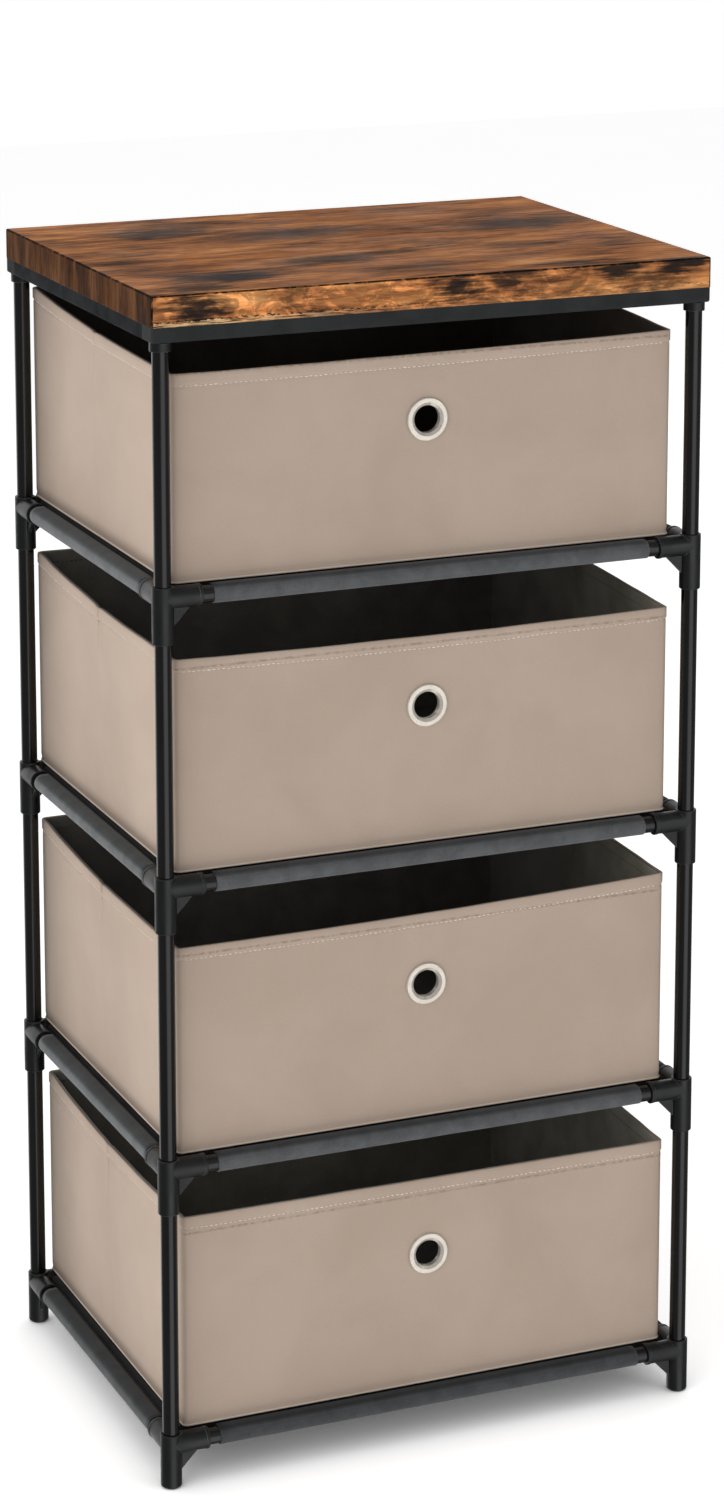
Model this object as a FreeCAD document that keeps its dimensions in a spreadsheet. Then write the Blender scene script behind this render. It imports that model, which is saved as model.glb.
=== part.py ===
"""Fabric drawer dresser: a tube frame with plastic corner connectors, cloth shelves, a wood-look top
and four cloth drawers that slide out to the front.

Millimetres. +Z is up, the front faces -Y, and the origin is on the floor under the middle of the top.
Tier 1 is the highest drawer and tier 4 the lowest.
"""
import FreeCAD, Part
import math
import os

import Sketcher

TIERS = 4

SIZES = {
    # Frame of round steel tube
    "post_spacing_x": 428,
    "post_spacing_y": 319,
    "tube_diameter": 12.7,
    "tube_wall": 0.9,
    "tier_pitch": 219,
    "top_bay_height": 188.5,
    # Corner connectors
    "tube_fit": 0.1,
    "sleeve_wall": 1.7,
    "upper_mouth_height": 0.65,
    "sleeve_drop": 34,
    "arm_reach": 29,
    "lip_height": 0.4,
    "lip_length": 2.6,
    "mouth_chamfer": 0.4,
    "rail_stop_wall": 2.2,
    "post_stop_drop": 8,
    "post_stop_thickness": 3,
    "gusset_reach": 20.5,
    "gusset_drop": 21,
    "gusset_thickness": 3,
    "foot_chamfer": 1.5,
    # Top
    "board_overhang_x": 9.5,
    "board_overhang_y": 8.5,
    "board_thickness": 23,
    "board_edge_bevel": 0.8,
    "rim_height": 11.5,
    "rim_width": 20,
    "rim_corner_radius": 2,
    "collar_height": 6.5,
    "socket_plate": 2,
    "plug_length": 20,
    # Screws
    "screw_diameter": 4,
    "screw_head_diameter": 8,
    "screw_head_height": 2.4,
    "screw_fit": 0.15,
    "board_screw_length": 24,
    "board_screw_inset": 70,
    "socket_screw_length": 26,
    "pilot_clearance": 1,
    # Shelf cloths
    "casing_wall": 0.9,
    "casing_gap": 0.1,
    "casing_inset_x": 38,
    "casing_inset_y": 33,
    "sheet_thickness": 2,
    "sheet_clearance": 1,
    # Drawers
    "drawer_side_gap": 3.95,
    "drawer_setback": 7,
    "drawer_rear_overhang": 5,
    "drawer_top_gap": 17.65,
    "drawer_clearance": 0.3,
    "corner_radius": 7,
    "cover_thickness": 1.5,
    "lining_thickness": 1.6,
    "cloth_gap": 0.1,
    "base_thickness": 2.5,
    "base_clearance": 1,
    # Finger-hole grommets
    "grommet_height": 105,
    "grommet_hole": 21,
    "grommet_flange": 33,
    "grommet_bevel": 2.2,
    "flange_thickness": 1.5,
    "flange_rounding": 1.1,
    "barrel_wall": 1.1,
    "washer_thickness": 1.2,
    "grommet_fit": 0.15,
}

# How far each drawer stands to the right of the middle of the frame, from the top down
DRAWER_SHIFTS = (-2.5, -2.0, -2.0, 0.5)

# Corner name: side in X, side in Y, and the turn that points a connector's arms along the rails there
CORNERS = {
    "front_left": (-1, -1, 0),
    "front_right": (1, -1, 90),
    "back_right": (1, 1, 180),
    "back_left": (-1, 1, 270),
}

HALF_X = "(Sizes.post_spacing_x / 2)"
HALF_Y = "(Sizes.post_spacing_y / 2)"
TUBE_RADIUS = "(Sizes.tube_diameter / 2)"
BORE_RADIUS = f"({TUBE_RADIUS} - Sizes.tube_wall)"
SOCKET_RADIUS = f"({TUBE_RADIUS} + Sizes.tube_fit)"
SLEEVE_RADIUS = f"({SOCKET_RADIUS} + Sizes.sleeve_wall)"
LIP_RADIUS = f"({SLEEVE_RADIUS} + Sizes.lip_height)"
SLEEVE_RISE = f"({SLEEVE_RADIUS} + Sizes.upper_mouth_height)"
RAIL_STOP = f"({SOCKET_RADIUS} + Sizes.rail_stop_wall)"
LOWER_STOP_DROP = "(Sizes.post_stop_drop + Sizes.post_stop_thickness)"
CASING_RADIUS = f"({TUBE_RADIUS} + Sizes.casing_gap + Sizes.casing_wall)"
BOARD_HALF_X = f"({HALF_X} + Sizes.board_overhang_x)"
BOARD_HALF_Y = f"({HALF_Y} + Sizes.board_overhang_y)"
DRAWER_WIDTH = f"(Sizes.post_spacing_x - 2 * ({LIP_RADIUS} + Sizes.drawer_side_gap))"
DRAWER_DEPTH = "(Sizes.post_spacing_y - Sizes.drawer_setback + Sizes.drawer_rear_overhang)"
DRAWER_FLOOR = f"({LIP_RADIUS} + Sizes.drawer_clearance)"
DRAWER_HEIGHT = f"(Sizes.top_bay_height - {DRAWER_FLOOR} - Sizes.drawer_top_gap)"
CLOTH_THICKNESS = "(Sizes.cover_thickness + Sizes.cloth_gap + Sizes.lining_thickness)"
BARREL_RADIUS = "(Sizes.grommet_hole / 2 + Sizes.barrel_wall)"
GROMMET_OPENING = f"({BARREL_RADIUS} + Sizes.grommet_fit)"
SCREW_RADIUS = "(Sizes.screw_diameter / 2)"
SCREW_HOLE_RADIUS = f"({SCREW_RADIUS} + Sizes.screw_fit)"
SCREW_HEAD_RADIUS = "(Sizes.screw_head_diameter / 2)"


def rail_height(tier):
    """Height of the rail axes of a tier above the floor."""
    return f"(Sizes.sleeve_drop + {TIERS - tier} * Sizes.tier_pitch)"


RIM_UNDERSIDE = f"({rail_height(1)} + Sizes.top_bay_height)"
BOARD_UNDERSIDE = f"({RIM_UNDERSIDE} + Sizes.rim_height)"


# ---------------------------------------------------------------- document and sketch helpers

def make_sheet(doc):
    """Spreadsheet with one alias for each driving dimension."""
    sheet = doc.addObject("Spreadsheet::Sheet", "Sizes")
    for row, (alias, value) in enumerate(SIZES.items(), start=1):
        sheet.set(f"A{row}", alias)
        sheet.set(f"B{row}", str(value))
        sheet.setAlias(f"B{row}", alias)
    doc.recompute()
    return sheet


def value_of(obj, expression):
    """Number that an expression over the sheet gives now."""
    return float(obj.evalExpression(expression))


def place(obj, x="0", y="0", z="0", turn=0):
    """Turn an object about Z by a fixed angle and tie its position to the sheet."""
    obj.Placement = FreeCAD.Placement(
        FreeCAD.Vector(0, 0, 0), FreeCAD.Rotation(FreeCAD.Vector(0, 0, 1), turn))
    for axis, expression in (("x", x), ("y", y), ("z", z)):
        obj.setExpression(f"Placement.Base.{axis}", expression)
    return obj


def new_body(doc, label):
    """Empty PartDesign body with its own label."""
    body = doc.addObject("PartDesign::Body", label)
    body.Label = label
    return body


def new_sketch(body, role, offset=None):
    """Sketch on one of the body's origin planes, moved along the plane's normal by an expression."""
    sketch = body.newObject("Sketcher::SketchObject", f"{body.Name}_sketch")
    plane = next(item for item in body.Origin.OriginFeatures if item.Role == role)
    sketch.AttachmentSupport = (plane, [""])
    sketch.MapMode = "FlatFace"
    if offset is not None:
        sketch.setExpression("AttachmentOffset.Base.z", offset)
    return sketch


def pin_point(sketch, geometry, point, coordinates):
    """Dimension one sketch point from the sketch's origin, by expressions."""
    for kind, axis, expression in zip(("DistanceX", "DistanceY"), (-2, -1), coordinates):
        if expression == "0":
            sketch.addConstraint(Sketcher.Constraint("PointOnObject", geometry, point, axis))
            continue
        value = value_of(sketch, expression)
        index = sketch.addConstraint(Sketcher.Constraint(kind, -1, 1, geometry, point, value))
        sketch.setExpression(f"Constraints[{index}]", expression)


def add_outline(sketch, corners):
    """Closed outline of straight lines through corners given as pairs of expressions."""
    points = []
    for x, y in corners:
        points.append(FreeCAD.Vector(value_of(sketch, x), value_of(sketch, y), 0))
    lines = []
    for start, end in zip(points, points[1:] + points[:1]):
        lines.append(sketch.addGeometry(Part.LineSegment(start, end), False))
    for line, following in zip(lines, lines[1:] + lines[:1]):
        sketch.addConstraint(Sketcher.Constraint("Coincident", line, 2, following, 1))
    for line, corner in zip(lines, corners):
        pin_point(sketch, line, 1, corner)


def add_rectangle(sketch, left, right, bottom, top):
    """Rectangle between four expressions."""
    add_outline(sketch, ((left, bottom), (right, bottom), (right, top), (left, top)))


def add_rounded_rectangle(sketch, left, right, bottom, top, radius):
    """Rectangle between four expressions, with an arc of one radius at each corner."""
    size = value_of(sketch, radius)
    corners = (
        (f"{left} + {radius}", f"{bottom} + {radius}", 180),
        (f"{right} - {radius}", f"{bottom} + {radius}", 270),
        (f"{right} - {radius}", f"{top} - {radius}", 0),
        (f"{left} + {radius}", f"{top} - {radius}", 90),
    )
    arcs = []
    for x, y, start in corners:
        centre = FreeCAD.Vector(value_of(sketch, x), value_of(sketch, y), 0)
        circle = Part.Circle(centre, FreeCAD.Vector(0, 0, 1), size)
        arc = Part.ArcOfCircle(circle, math.radians(start), math.radians(start + 90))
        arcs.append((sketch.addGeometry(arc, False), arc))
    for (arc, curve), (following, next_curve) in zip(arcs, arcs[1:] + arcs[:1]):
        side = sketch.addGeometry(
            Part.LineSegment(curve.EndPoint, next_curve.StartPoint), False)
        sketch.addConstraint(Sketcher.Constraint("Tangent", arc, 2, side, 1))
        sketch.addConstraint(Sketcher.Constraint("Tangent", side, 2, following, 1))
    for (arc, _), (x, y, _) in zip(arcs, corners):
        index = sketch.addConstraint(Sketcher.Constraint("Radius", arc, size))
        sketch.setExpression(f"Constraints[{index}]", radius)
        pin_point(sketch, arc, 3, (x, y))


def add_circle(sketch, radius, x="0", y="0"):
    """Circle with its radius and centre given by expressions."""
    centre = FreeCAD.Vector(value_of(sketch, x), value_of(sketch, y), 0)
    value = value_of(sketch, radius)
    circle = sketch.addGeometry(Part.Circle(centre, FreeCAD.Vector(0, 0, 1), value), False)
    index = sketch.addConstraint(Sketcher.Constraint("Radius", circle, value))
    sketch.setExpression(f"Constraints[{index}]", radius)
    pin_point(sketch, circle, 3, (x, y))


def add_pad(body, sketch, length, towards_back=False, both_sides=False):
    """Pad a sketch by an expression."""
    pad = body.newObject("PartDesign::Pad", f"{body.Name}_pad")
    pad.Profile = sketch
    pad.setExpression("Length", length)
    pad.Reversed = towards_back
    if both_sides:
        pad.SideType = "Symmetric"
    return pad


def add_pocket(body, sketch, depth, along_normal=False):
    """Cut a sketch into the body by an expression, and check that it takes material away."""
    FreeCAD.ActiveDocument.recompute()
    volume_before = body.Shape.Volume
    pocket = body.newObject("PartDesign::Pocket", f"{body.Name}_pocket")
    pocket.Profile = sketch
    pocket.setExpression("Length", depth)
    pocket.Reversed = along_normal
    FreeCAD.ActiveDocument.recompute()
    if pocket.Shape.Volume >= volume_before:
        raise RuntimeError(f"{pocket.Name} cuts nothing from {body.Label}")
    return pocket


def add_revolution(body, sketch, axis):
    """Turn a sketch once round its own horizontal or vertical axis."""
    revolution = body.newObject("PartDesign::Revolution", f"{body.Name}_revolution")
    revolution.Profile = sketch
    revolution.ReferenceAxis = (sketch, [axis])
    revolution.Angle = 360
    return revolution


def dress_edges(body, feature, kind, size_name, size, wanted):
    """Fillet or chamfer the edges of a feature that the wanted test accepts."""
    FreeCAD.ActiveDocument.recompute()
    names = []
    for number, edge in enumerate(feature.Shape.Edges, start=1):
        if wanted(edge):
            names.append(f"Edge{number}")
    if not names:
        raise RuntimeError(f"no edge to dress on {body.Label}")
    dressing = body.newObject(kind, f"{body.Name}_{kind.split('::')[1].lower()}")
    dressing.Base = (feature, names)
    dressing.setExpression(size_name, size)
    body.Tip = dressing
    return dressing


def is_upright(edge):
    """True for a straight edge along Z."""
    box = edge.BoundBox
    return len(edge.Vertexes) == 2 and box.XLength + box.YLength < 1e-6


def linked_copy(doc, pattern, x, y, z, turn=0):
    """Copy of a pattern piece at a place given by expressions."""
    link = doc.addObject("App::Link", f"{pattern.Name}_copy")
    link.LinkedObject = pattern
    return place(link, x, y, z, turn)


def group_copies(doc, label, copies):
    """One sub-part made of several separate copies of a piece."""
    group = doc.addObject("Part::Compound", label)
    group.Label = label
    group.Links = copies
    return group


# ---------------------------------------------------------------- tubes

def make_tube(doc, label, length):
    """Round steel tube along +X from the origin."""
    body = new_body(doc, label)
    sketch = new_sketch(body, "YZ_Plane")
    add_circle(sketch, TUBE_RADIUS)
    add_circle(sketch, BORE_RADIUS)
    add_pad(body, sketch, length)
    return body


def make_post_pattern(doc, label, length):
    """Round steel tube standing on the origin."""
    body = new_body(doc, label)
    sketch = new_sketch(body, "XY_Plane")
    add_circle(sketch, TUBE_RADIUS)
    add_circle(sketch, BORE_RADIUS)
    add_pad(body, sketch, length)
    return body


def make_posts(doc):
    """Four posts, each of one tube per tier that stands on the stop inside a connector."""
    top_tube = make_post_pattern(
        doc, "top_post_tube",
        "Sizes.top_bay_height + Sizes.post_stop_drop - Sizes.socket_plate")
    lower_tube = make_post_pattern(
        doc, "lower_post_tube", "Sizes.tier_pitch - Sizes.post_stop_thickness")
    posts = []
    for corner, (side_x, side_y, _) in CORNERS.items():
        tubes = []
        for tier in range(1, TIERS + 1):
            pattern = top_tube if tier == 1 else lower_tube
            tubes.append(linked_copy(
                doc, pattern, f"{side_x} * {HALF_X}", f"{side_y} * {HALF_Y}",
                f"{rail_height(tier)} - Sizes.post_stop_drop"))
        posts.append(group_copies(doc, f"post_{corner}", tubes))
    return posts


def make_rails(doc, tier):
    """Front, back, left and right rail of a tier, each ending at the stops of its two sockets."""
    rails = []
    for side_name, side_y in (("front", -1), ("back", 1)):
        rail = make_tube(
            doc, f"rail_{tier}_{side_name}", f"Sizes.post_spacing_x - 2 * {RAIL_STOP}")
        place(rail, f"{RAIL_STOP} - {HALF_X}", f"{side_y} * {HALF_Y}", rail_height(tier))
        rails.append(rail)
    for side_name, side_x in (("left", -1), ("right", 1)):
        rail = make_tube(
            doc, f"rail_{tier}_{side_name}", f"Sizes.post_spacing_y - 2 * {RAIL_STOP}")
        place(rail, f"{side_x} * {HALF_X}", f"{RAIL_STOP} - {HALF_Y}", rail_height(tier), turn=90)
        rails.append(rail)
    return rails


# ---------------------------------------------------------------- corner connectors

def add_sleeves(body):
    """Upright sleeve and the two arms with a lip at each mouth."""
    sketch = new_sketch(body, "XY_Plane", "-Sizes.sleeve_drop")
    add_circle(sketch, SLEEVE_RADIUS)
    add_pad(body, sketch, f"{SLEEVE_RISE} + Sizes.sleeve_drop")
    for role, sign, backwards in (("YZ_Plane", 1, False), ("XZ_Plane", -1, True)):
        arm = new_sketch(body, role)
        add_circle(arm, SLEEVE_RADIUS)
        add_pad(body, arm, "Sizes.arm_reach", towards_back=backwards)
        lip = new_sketch(body, role, f"{sign} * (Sizes.arm_reach - Sizes.lip_length)")
        add_circle(lip, LIP_RADIUS)
        add_pad(body, lip, "Sizes.lip_length", towards_back=backwards)


def add_gussets(body):
    """Flat three-cornered web under each arm, running down the upright sleeve."""
    for role in ("XZ_Plane", "YZ_Plane"):
        web = new_sketch(body, role)
        add_outline(web, (
            (SOCKET_RADIUS, f"-{SOCKET_RADIUS}"),
            ("Sizes.gusset_reach", f"-{SOCKET_RADIUS}"),
            ("Sizes.gusset_reach", f"-{SLEEVE_RADIUS}"),
            (SLEEVE_RADIUS, "-Sizes.gusset_drop"),
            (SOCKET_RADIUS, "-Sizes.gusset_drop"),
        ))
        add_pad(body, web, "Sizes.gusset_thickness", both_sides=True)


def cut_sockets(body, open_below):
    """Bores for the post above, the two rails and, if open below, the post under it."""
    upper = new_sketch(body, "XY_Plane", SLEEVE_RISE)
    add_circle(upper, SOCKET_RADIUS)
    add_pocket(body, upper, f"{SLEEVE_RISE} + Sizes.post_stop_drop")
    for role, sign, along in (("YZ_Plane", 1, False), ("XZ_Plane", -1, True)):
        bore = new_sketch(body, role, f"{sign} * Sizes.arm_reach")
        add_circle(bore, SOCKET_RADIUS)
        add_pocket(body, bore, f"Sizes.arm_reach - {RAIL_STOP}", along_normal=along)
    if open_below:
        lower = new_sketch(body, "XY_Plane", "-Sizes.sleeve_drop")
        add_circle(lower, SOCKET_RADIUS)
        add_pocket(body, lower, f"Sizes.sleeve_drop - {LOWER_STOP_DROP}", along_normal=True)


def chamfer_mouths(body, open_below):
    """Break the outer edge at every mouth, and more of it round the sole of a foot."""
    rise = value_of(body, SLEEVE_RISE)
    floor = -value_of(body, "Sizes.sleeve_drop")
    reach = value_of(body, "Sizes.arm_reach")
    outer = value_of(body, SLEEVE_RADIUS)

    def is_outer_circle(edge):
        return len(edge.Vertexes) == 1 and edge.Curve.Radius > outer - 1e-6

    def is_mouth(edge):
        box = edge.BoundBox
        ends = (box.ZMin - rise, box.XMin - reach, box.YMin - reach)
        if open_below:
            ends += (box.ZMax - floor,)
        return is_outer_circle(edge) and min(abs(end) for end in ends) < 1e-6

    dress_edges(body, body.Tip, "PartDesign::Chamfer", "Size", "Sizes.mouth_chamfer", is_mouth)
    if not open_below:
        dress_edges(
            body, body.Tip, "PartDesign::Chamfer", "Size", "Sizes.foot_chamfer",
            lambda edge: abs(edge.BoundBox.ZMax - floor) < 1e-6)


def make_connector_pattern(doc, label, open_below):
    """Moulded connector for one corner, with its arms along +X and +Y from the crossing of the axes."""
    body = new_body(doc, label)
    add_sleeves(body)
    add_gussets(body)
    cut_sockets(body, open_below)
    chamfer_mouths(body, open_below)
    return body


def make_connectors(doc):
    """Four connectors on each tier; those of the lowest tier are closed below and are the feet."""
    joint = make_connector_pattern(doc, "joint_connector", open_below=True)
    foot = make_connector_pattern(doc, "foot_connector", open_below=False)
    groups = []
    for tier in range(1, TIERS + 1):
        pattern = foot if tier == TIERS else joint
        copies = []
        for side_x, side_y, turn in CORNERS.values():
            copies.append(linked_copy(
                doc, pattern, f"{side_x} * {HALF_X}", f"{side_y} * {HALF_Y}",
                rail_height(tier), turn))
        label = "foot_connectors" if tier == TIERS else f"corner_connectors_{tier}"
        groups.append(group_copies(doc, label, copies))
    return groups


# ---------------------------------------------------------------- shelf cloths

def make_shelf(doc, tier):
    """Cloth sheet level with the connector lips, sewn round the four rails of its tier."""
    body = new_body(doc, f"shelf_cloth_{tier}")
    inner_x = f"({HALF_X} - {LIP_RADIUS} - Sizes.sheet_clearance)"
    inner_y = f"({HALF_Y} - {LIP_RADIUS} - Sizes.sheet_clearance)"
    run_x = f"({HALF_X} - Sizes.casing_inset_x)"
    run_y = f"({HALF_Y} - Sizes.casing_inset_y)"
    sheet = new_sketch(body, "XY_Plane", f"{LIP_RADIUS} - Sizes.sheet_thickness")
    add_outline(sheet, (
        (f"-{run_x}", f"-{HALF_Y}"), (run_x, f"-{HALF_Y}"), (run_x, f"-{inner_y}"),
        (inner_x, f"-{inner_y}"), (inner_x, f"-{run_y}"), (HALF_X, f"-{run_y}"),
        (HALF_X, run_y), (inner_x, run_y), (inner_x, inner_y),
        (run_x, inner_y), (run_x, HALF_Y), (f"-{run_x}", HALF_Y),
        (f"-{run_x}", inner_y), (f"-{inner_x}", inner_y), (f"-{inner_x}", run_y),
        (f"-{HALF_X}", run_y), (f"-{HALF_X}", f"-{run_y}"), (f"-{inner_x}", f"-{run_y}"),
        (f"-{inner_x}", f"-{inner_y}"), (f"-{run_x}", f"-{inner_y}"),
    ))
    add_pad(body, sheet, "Sizes.sheet_thickness")
    for role, half, run in (("YZ_Plane", HALF_Y, run_x), ("XZ_Plane", HALF_X, run_y)):
        casing = new_sketch(body, role)
        add_circle(casing, CASING_RADIUS, half)
        add_circle(casing, CASING_RADIUS, f"-{half}")
        add_pad(body, casing, f"2 * {run}", both_sides=True)
    for role, half, run in (("YZ_Plane", HALF_Y, run_x), ("XZ_Plane", HALF_X, run_y)):
        bore = new_sketch(body, role, run)
        add_circle(bore, f"{TUBE_RADIUS} + Sizes.casing_gap", half)
        add_circle(bore, f"{TUBE_RADIUS} + Sizes.casing_gap", f"-{half}")
        add_pocket(body, bore, f"2 * {run}")
    return place(body, z=rail_height(tier))


# ---------------------------------------------------------------- top

def board_screw_places():
    """Two screws through each rim bar into the board, as pairs of expressions."""
    places = []
    for side in (-1, 1):
        for end in (-1, 1):
            places.append((
                f"{end} * ({HALF_X} - Sizes.board_screw_inset)",
                f"{side} * ({BOARD_HALF_Y} - Sizes.rim_width / 2)"))
            places.append((
                f"{side} * ({BOARD_HALF_X} - Sizes.rim_width / 2)",
                f"{end} * ({HALF_Y} - Sizes.board_screw_inset)"))
    return places


def make_top_board(doc):
    """Thick wood-look board with a fine bevel along every upper and upright edge."""
    body = new_body(doc, "top_board")
    sketch = new_sketch(body, "XY_Plane")
    add_rectangle(sketch, f"-{BOARD_HALF_X}", BOARD_HALF_X, f"-{BOARD_HALF_Y}", BOARD_HALF_Y)
    slab = add_pad(body, sketch, "Sizes.board_thickness")
    dress_edges(
        body, slab, "PartDesign::Chamfer", "Size", "Sizes.board_edge_bevel",
        lambda edge: edge.BoundBox.ZMax > 1e-6)
    pilots = new_sketch(body, "XY_Plane")
    for x, y in board_screw_places():
        add_circle(pilots, SCREW_HOLE_RADIUS, x, y)
    add_pocket(
        body, pilots, "Sizes.board_screw_length - Sizes.rim_height + Sizes.pilot_clearance",
        along_normal=True)
    return place(body, z=BOARD_UNDERSIDE)


def cut_screw_seat(body, x, y, head_down):
    """Countersunk screw hole through a rim bar, its head on the lower or the upper face."""
    face = "0" if head_down else "Sizes.rim_height"
    shank = new_sketch(body, "XY_Plane", face)
    add_circle(shank, SCREW_HOLE_RADIUS, x, y)
    add_pocket(body, shank, "Sizes.rim_height", along_normal=head_down)
    head = new_sketch(body, "XY_Plane", face)
    add_circle(head, f"{SCREW_HEAD_RADIUS} + Sizes.screw_fit", x, y)
    add_pocket(body, head, "Sizes.screw_head_height + Sizes.screw_fit", along_normal=head_down)


def make_long_rim_bar(doc, side_name, side_y):
    """Front or back bar of the rim, over the whole width, with the socket screws at its ends."""
    body = new_body(doc, f"top_rim_{side_name}")
    sketch = new_sketch(body, "XY_Plane")
    add_rectangle(sketch, f"-{BOARD_HALF_X}", BOARD_HALF_X, "-Sizes.rim_width", "0")
    bar = add_pad(body, sketch, "Sizes.rim_height")
    half_length = value_of(body, BOARD_HALF_X)

    def is_outer(edge):
        box = edge.BoundBox
        on_face = abs(box.YMax) < 1e-6 and abs(box.YMin) < 1e-6
        on_end = abs(abs(box.Center.x) - half_length) < 1e-6
        return (on_face or on_end) and box.ZMin < 1e-6 and (box.ZMax < 1e-6 or on_face)

    dress_edges(
        body, bar, "PartDesign::Fillet", "Radius", "Sizes.rim_corner_radius", is_outer)
    for side_x in (-1, 1):
        cut_screw_seat(
            body, f"{side_x} * {HALF_X}", "-Sizes.board_overhang_y", head_down=False)
        cut_screw_seat(
            body, f"{side_x} * ({HALF_X} - Sizes.board_screw_inset)", "-Sizes.rim_width / 2",
            head_down=True)
    turn = 0 if side_y > 0 else 180
    return place(body, y=f"{side_y} * {BOARD_HALF_Y}", z=RIM_UNDERSIDE, turn=turn)


def make_short_rim_bar(doc, side_name, side_x):
    """Left or right bar of the rim, between the front and the back bar."""
    body = new_body(doc, f"top_rim_{side_name}")
    reach = f"({BOARD_HALF_Y} - Sizes.rim_width)"
    sketch = new_sketch(body, "XY_Plane")
    add_rectangle(sketch, "-Sizes.rim_width", "0", f"-{reach}", reach)
    bar = add_pad(body, sketch, "Sizes.rim_height")
    dress_edges(
        body, bar, "PartDesign::Fillet", "Radius", "Sizes.rim_corner_radius",
        lambda edge: edge.BoundBox.XMin > -1e-6 and edge.BoundBox.ZMax < 1e-6)
    for side_y in (-1, 1):
        cut_screw_seat(
            body, "-Sizes.rim_width / 2", f"{side_y} * ({HALF_Y} - Sizes.board_screw_inset)",
            head_down=True)
    turn = 0 if side_x > 0 else 180
    return place(body, x=f"{side_x} * {BOARD_HALF_X}", z=RIM_UNDERSIDE, turn=turn)


def make_socket(doc, label):
    """Collar round the top of a post, with a plug that fills the end of the tube."""
    plug_radius = f"({BORE_RADIUS} - Sizes.tube_fit)"
    body = new_body(doc, label)
    collar = new_sketch(body, "XY_Plane")
    add_circle(collar, SLEEVE_RADIUS)
    add_pad(body, collar, "Sizes.collar_height", towards_back=True)
    groove = new_sketch(body, "XY_Plane", "-Sizes.collar_height")
    add_circle(groove, SOCKET_RADIUS)
    add_pocket(body, groove, "Sizes.collar_height - Sizes.socket_plate", along_normal=True)
    plug = new_sketch(body, "XY_Plane")
    add_circle(plug, plug_radius)
    add_pad(body, plug, "Sizes.plug_length", towards_back=True)
    pilot = new_sketch(body, "XY_Plane")
    add_circle(pilot, SCREW_HOLE_RADIUS)
    add_pocket(
        body, pilot, "Sizes.socket_screw_length - Sizes.rim_height + Sizes.pilot_clearance")
    return body


def make_sockets(doc):
    """One socket under each corner of the rim."""
    sockets = []
    for corner, (side_x, side_y, _) in CORNERS.items():
        socket = make_socket(doc, f"post_socket_{corner}")
        sockets.append(place(
            socket, f"{side_x} * {HALF_X}", f"{side_y} * {HALF_Y}", RIM_UNDERSIDE))
    return sockets


def make_screw_pattern(doc, label, length, upside_down):
    """Countersunk screw with the flat of its head at the origin, pointing up or down."""
    sign = "-1" if upside_down else "1"
    body = new_body(doc, label)
    sketch = new_sketch(body, "XZ_Plane")
    add_outline(sketch, (
        ("0", "0"), (SCREW_HEAD_RADIUS, "0"),
        (SCREW_RADIUS, f"{sign} * Sizes.screw_head_height"),
        (SCREW_RADIUS, f"{sign} * ({length} - {SCREW_RADIUS})"), ("0", f"{sign} * {length}"),
    ))
    add_revolution(body, sketch, "V_Axis")
    return body


def make_screws(doc):
    """Eight screws up into the board, and four down through the rim into the sockets."""
    board_screw = make_screw_pattern(doc, "board_screw", "Sizes.board_screw_length", False)
    board_copies = []
    for x, y in board_screw_places():
        board_copies.append(linked_copy(doc, board_screw, x, y, RIM_UNDERSIDE))
    socket_screw = make_screw_pattern(doc, "socket_screw", "Sizes.socket_screw_length", True)
    socket_copies = []
    for side_x, side_y, _ in CORNERS.values():
        socket_copies.append(linked_copy(
            doc, socket_screw, f"{side_x} * {HALF_X}", f"{side_y} * {HALF_Y}",
            BOARD_UNDERSIDE))
    return [group_copies(doc, "board_screws", board_copies),
            group_copies(doc, "socket_screws", socket_copies)]


def make_top(doc):
    """Board, rim bars, sockets and screws of the top."""
    parts = [make_top_board(doc)]
    for side_name, side in (("front", -1), ("back", 1)):
        parts.append(make_long_rim_bar(doc, side_name, side))
    for side_name, side in (("left", -1), ("right", 1)):
        parts.append(make_short_rim_bar(doc, side_name, side))
    return parts + make_sockets(doc) + make_screws(doc)


# ---------------------------------------------------------------- drawers

def place_in_drawer(obj, tier, height="0"):
    """Put a piece whose origin is the foot of the drawer's front face, in the middle."""
    return place(
        obj, x=str(DRAWER_SHIFTS[tier - 1]), y=f"Sizes.drawer_setback - {HALF_Y}",
        z=f"{rail_height(tier)} + {DRAWER_FLOOR} + {height}")


def cut_finger_hole(body):
    """Hole for the grommet through the front wall of a cloth layer."""
    hole = new_sketch(body, "XZ_Plane")
    add_circle(hole, GROMMET_OPENING, "0", "Sizes.grommet_height")
    add_pocket(body, hole, f"2 * {CLOTH_THICKNESS}")


def add_plan(body, inset, offset):
    """Sketch of the drawer's outline, moved in by an inset, at a height."""
    sketch = new_sketch(body, "XY_Plane", offset)
    add_rounded_rectangle(
        sketch, f"{inset} - {DRAWER_WIDTH} / 2", f"{DRAWER_WIDTH} / 2 - {inset}",
        inset, f"{DRAWER_DEPTH} - {inset}", f"(Sizes.corner_radius - {inset})")
    return sketch


def make_layer(doc, label, inset, thickness):
    """Open-topped cloth box that lies an inset inside the drawer's outline."""
    inner_inset = f"({inset} + {thickness})"
    body = new_body(doc, label)
    add_pad(body, add_plan(body, inset, inset), f"{DRAWER_HEIGHT} - {inset}")
    hollow = add_plan(body, inner_inset, DRAWER_HEIGHT)
    add_pocket(body, hollow, f"{DRAWER_HEIGHT} - {inner_inset}")
    cut_finger_hole(body)
    return body


def make_base(doc, label):
    """Loose stiff board on the floor of a drawer."""
    body = new_body(doc, label)
    outline = add_plan(
        body, f"({CLOTH_THICKNESS} + Sizes.base_clearance)", f"{CLOTH_THICKNESS} + Sizes.cloth_gap")
    add_pad(body, outline, "Sizes.base_thickness")
    return body


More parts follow.
